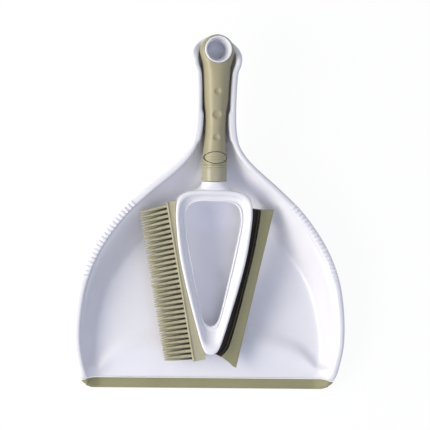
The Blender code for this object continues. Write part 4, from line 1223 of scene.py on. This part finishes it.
# %% [markdown]
# ## Floor and light
# The set lies on a plain pale floor. A clean white page behind it could come from more light, but
# that would burn out the white plastic. A Light Path switch is kinder: for the camera, and for
# rays mirrored in gloss or bent by glass, most of the floor's colour is a plain white glow, and
# the rest stays an ordinary surface that keeps the set's soft shadow.
# %% A switch for rays that show the page


def seen_directly(tree):
    """One for camera, glossy and transmission rays, nought for the rays that light the set."""
    path = tree.nodes.new("ShaderNodeLightPath")
    mirrored = maths(tree, "MAXIMUM", path.outputs["Is Glossy Ray"],
                     path.outputs["Is Transmission Ray"])
    return maths(tree, "MAXIMUM", path.outputs["Is Camera Ray"], mirrored)


def page_mix(tree, share, plain, page):
    """A Mix Shader that turns this share of a plain shader into the page, where it is seen."""
    switch = tree.nodes.new("ShaderNodeMixShader")
    feed(tree, switch.inputs["Fac"], maths(tree, "MULTIPLY", seen_directly(tree), share))
    feed(tree, switch.inputs[1], plain)
    feed(tree, switch.inputs[2], page)
    return switch.outputs["Shader"]


PAGE_SHARE = 0.90               # the rest of the floor shows the set's shadow
print("share of the floor that is page:", PAGE_SHARE)

# %% Pale floor
plane = bmesh.new()
bmesh.ops.create_grid(plane, x_segments=1, y_segments=1, size=3)
floor = new_object("floor", plane)
floor.location.z = -0.0002
floor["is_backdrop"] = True
paper, tree, shader = new_material("floor_paper")
shader.inputs["Base Color"].default_value = (0.86, 0.865, 0.88, 1)
shader.inputs["Roughness"].default_value = 0.8
glow = tree.nodes.new("ShaderNodeEmission")
glow.inputs["Color"].default_value = (1, 1, 1, 1)
glow.inputs["Strength"].default_value = 1.03
feed(tree, tree.nodes["Material Output"].inputs["Surface"],
     page_mix(tree, PAGE_SHARE, shader.outputs["BSDF"], glow.outputs["Emission"]))
floor.data.materials.append(paper)
print("floor material nodes:", len(tree.nodes))

# %% [markdown]
# A large warm lamp stands low on the left and gives the shadows that run to the right. A weak
# blue one overhead and a pale blue sky turn the shaded whites lavender, and the same switch
# shows the sky as a white page. The view transform stays Standard, so a colour that is written
# down comes out nearly as it is written.
# %% Sky and two soft lamps
world = bpy.data.worlds.new("world")
bpy.context.scene.world = world
world.use_nodes = True
tree = world.node_tree
sky = tree.nodes["Background"]
sky.inputs["Color"].default_value = (0.86, 0.91, 1.0, 1)
sky.inputs["Strength"].default_value = 0.42
page = tree.nodes.new("ShaderNodeBackground")
page.inputs["Color"].default_value = (1, 1, 1, 1)
feed(tree, tree.nodes["World Output"].inputs["Surface"],
     page_mix(tree, 1.0, sky.outputs["Background"], page.outputs["Background"]))


def soft_lamp(name, place, wide, tall, watts, colour):
    """A soft box that faces the origin."""
    lamp_data = bpy.data.lights.new(name, "AREA")
    lamp_data.shape, lamp_data.size, lamp_data.size_y = "RECTANGLE", wide, tall
    lamp_data.energy, lamp_data.color = watts, colour
    lamp = bpy.data.objects.new(name, lamp_data)
    bpy.context.scene.collection.objects.link(lamp)
    lamp.location = place
    lamp.rotation_euler = (-lamp.location).to_track_quat("-Z", "Y").to_euler()
    print(name, watts, "W at", [round(v, 2) for v in place])


soft_lamp("key", (-1.071, -0.234, 0.698), 1.36, 0.62, 16.1, (1.0, 0.94, 0.83))
soft_lamp("overhead", (0.156, -0.565, 1.381), 0.81, 0.81, 2.9, (0.54, 0.60, 1.0))
bpy.context.scene.view_settings.view_transform = "Standard"

# %% [markdown]
# ## Size and finish
# The CAD model's box and the visual model's box are printed side by side.
# %% Print both boxes
made_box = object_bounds()
for label, (low, high) in (("CAD", cad_box), ("visual", made_box)):
    print(label, [round((b - a) * 1000, 2) for a, b in zip(low, high)], "mm")
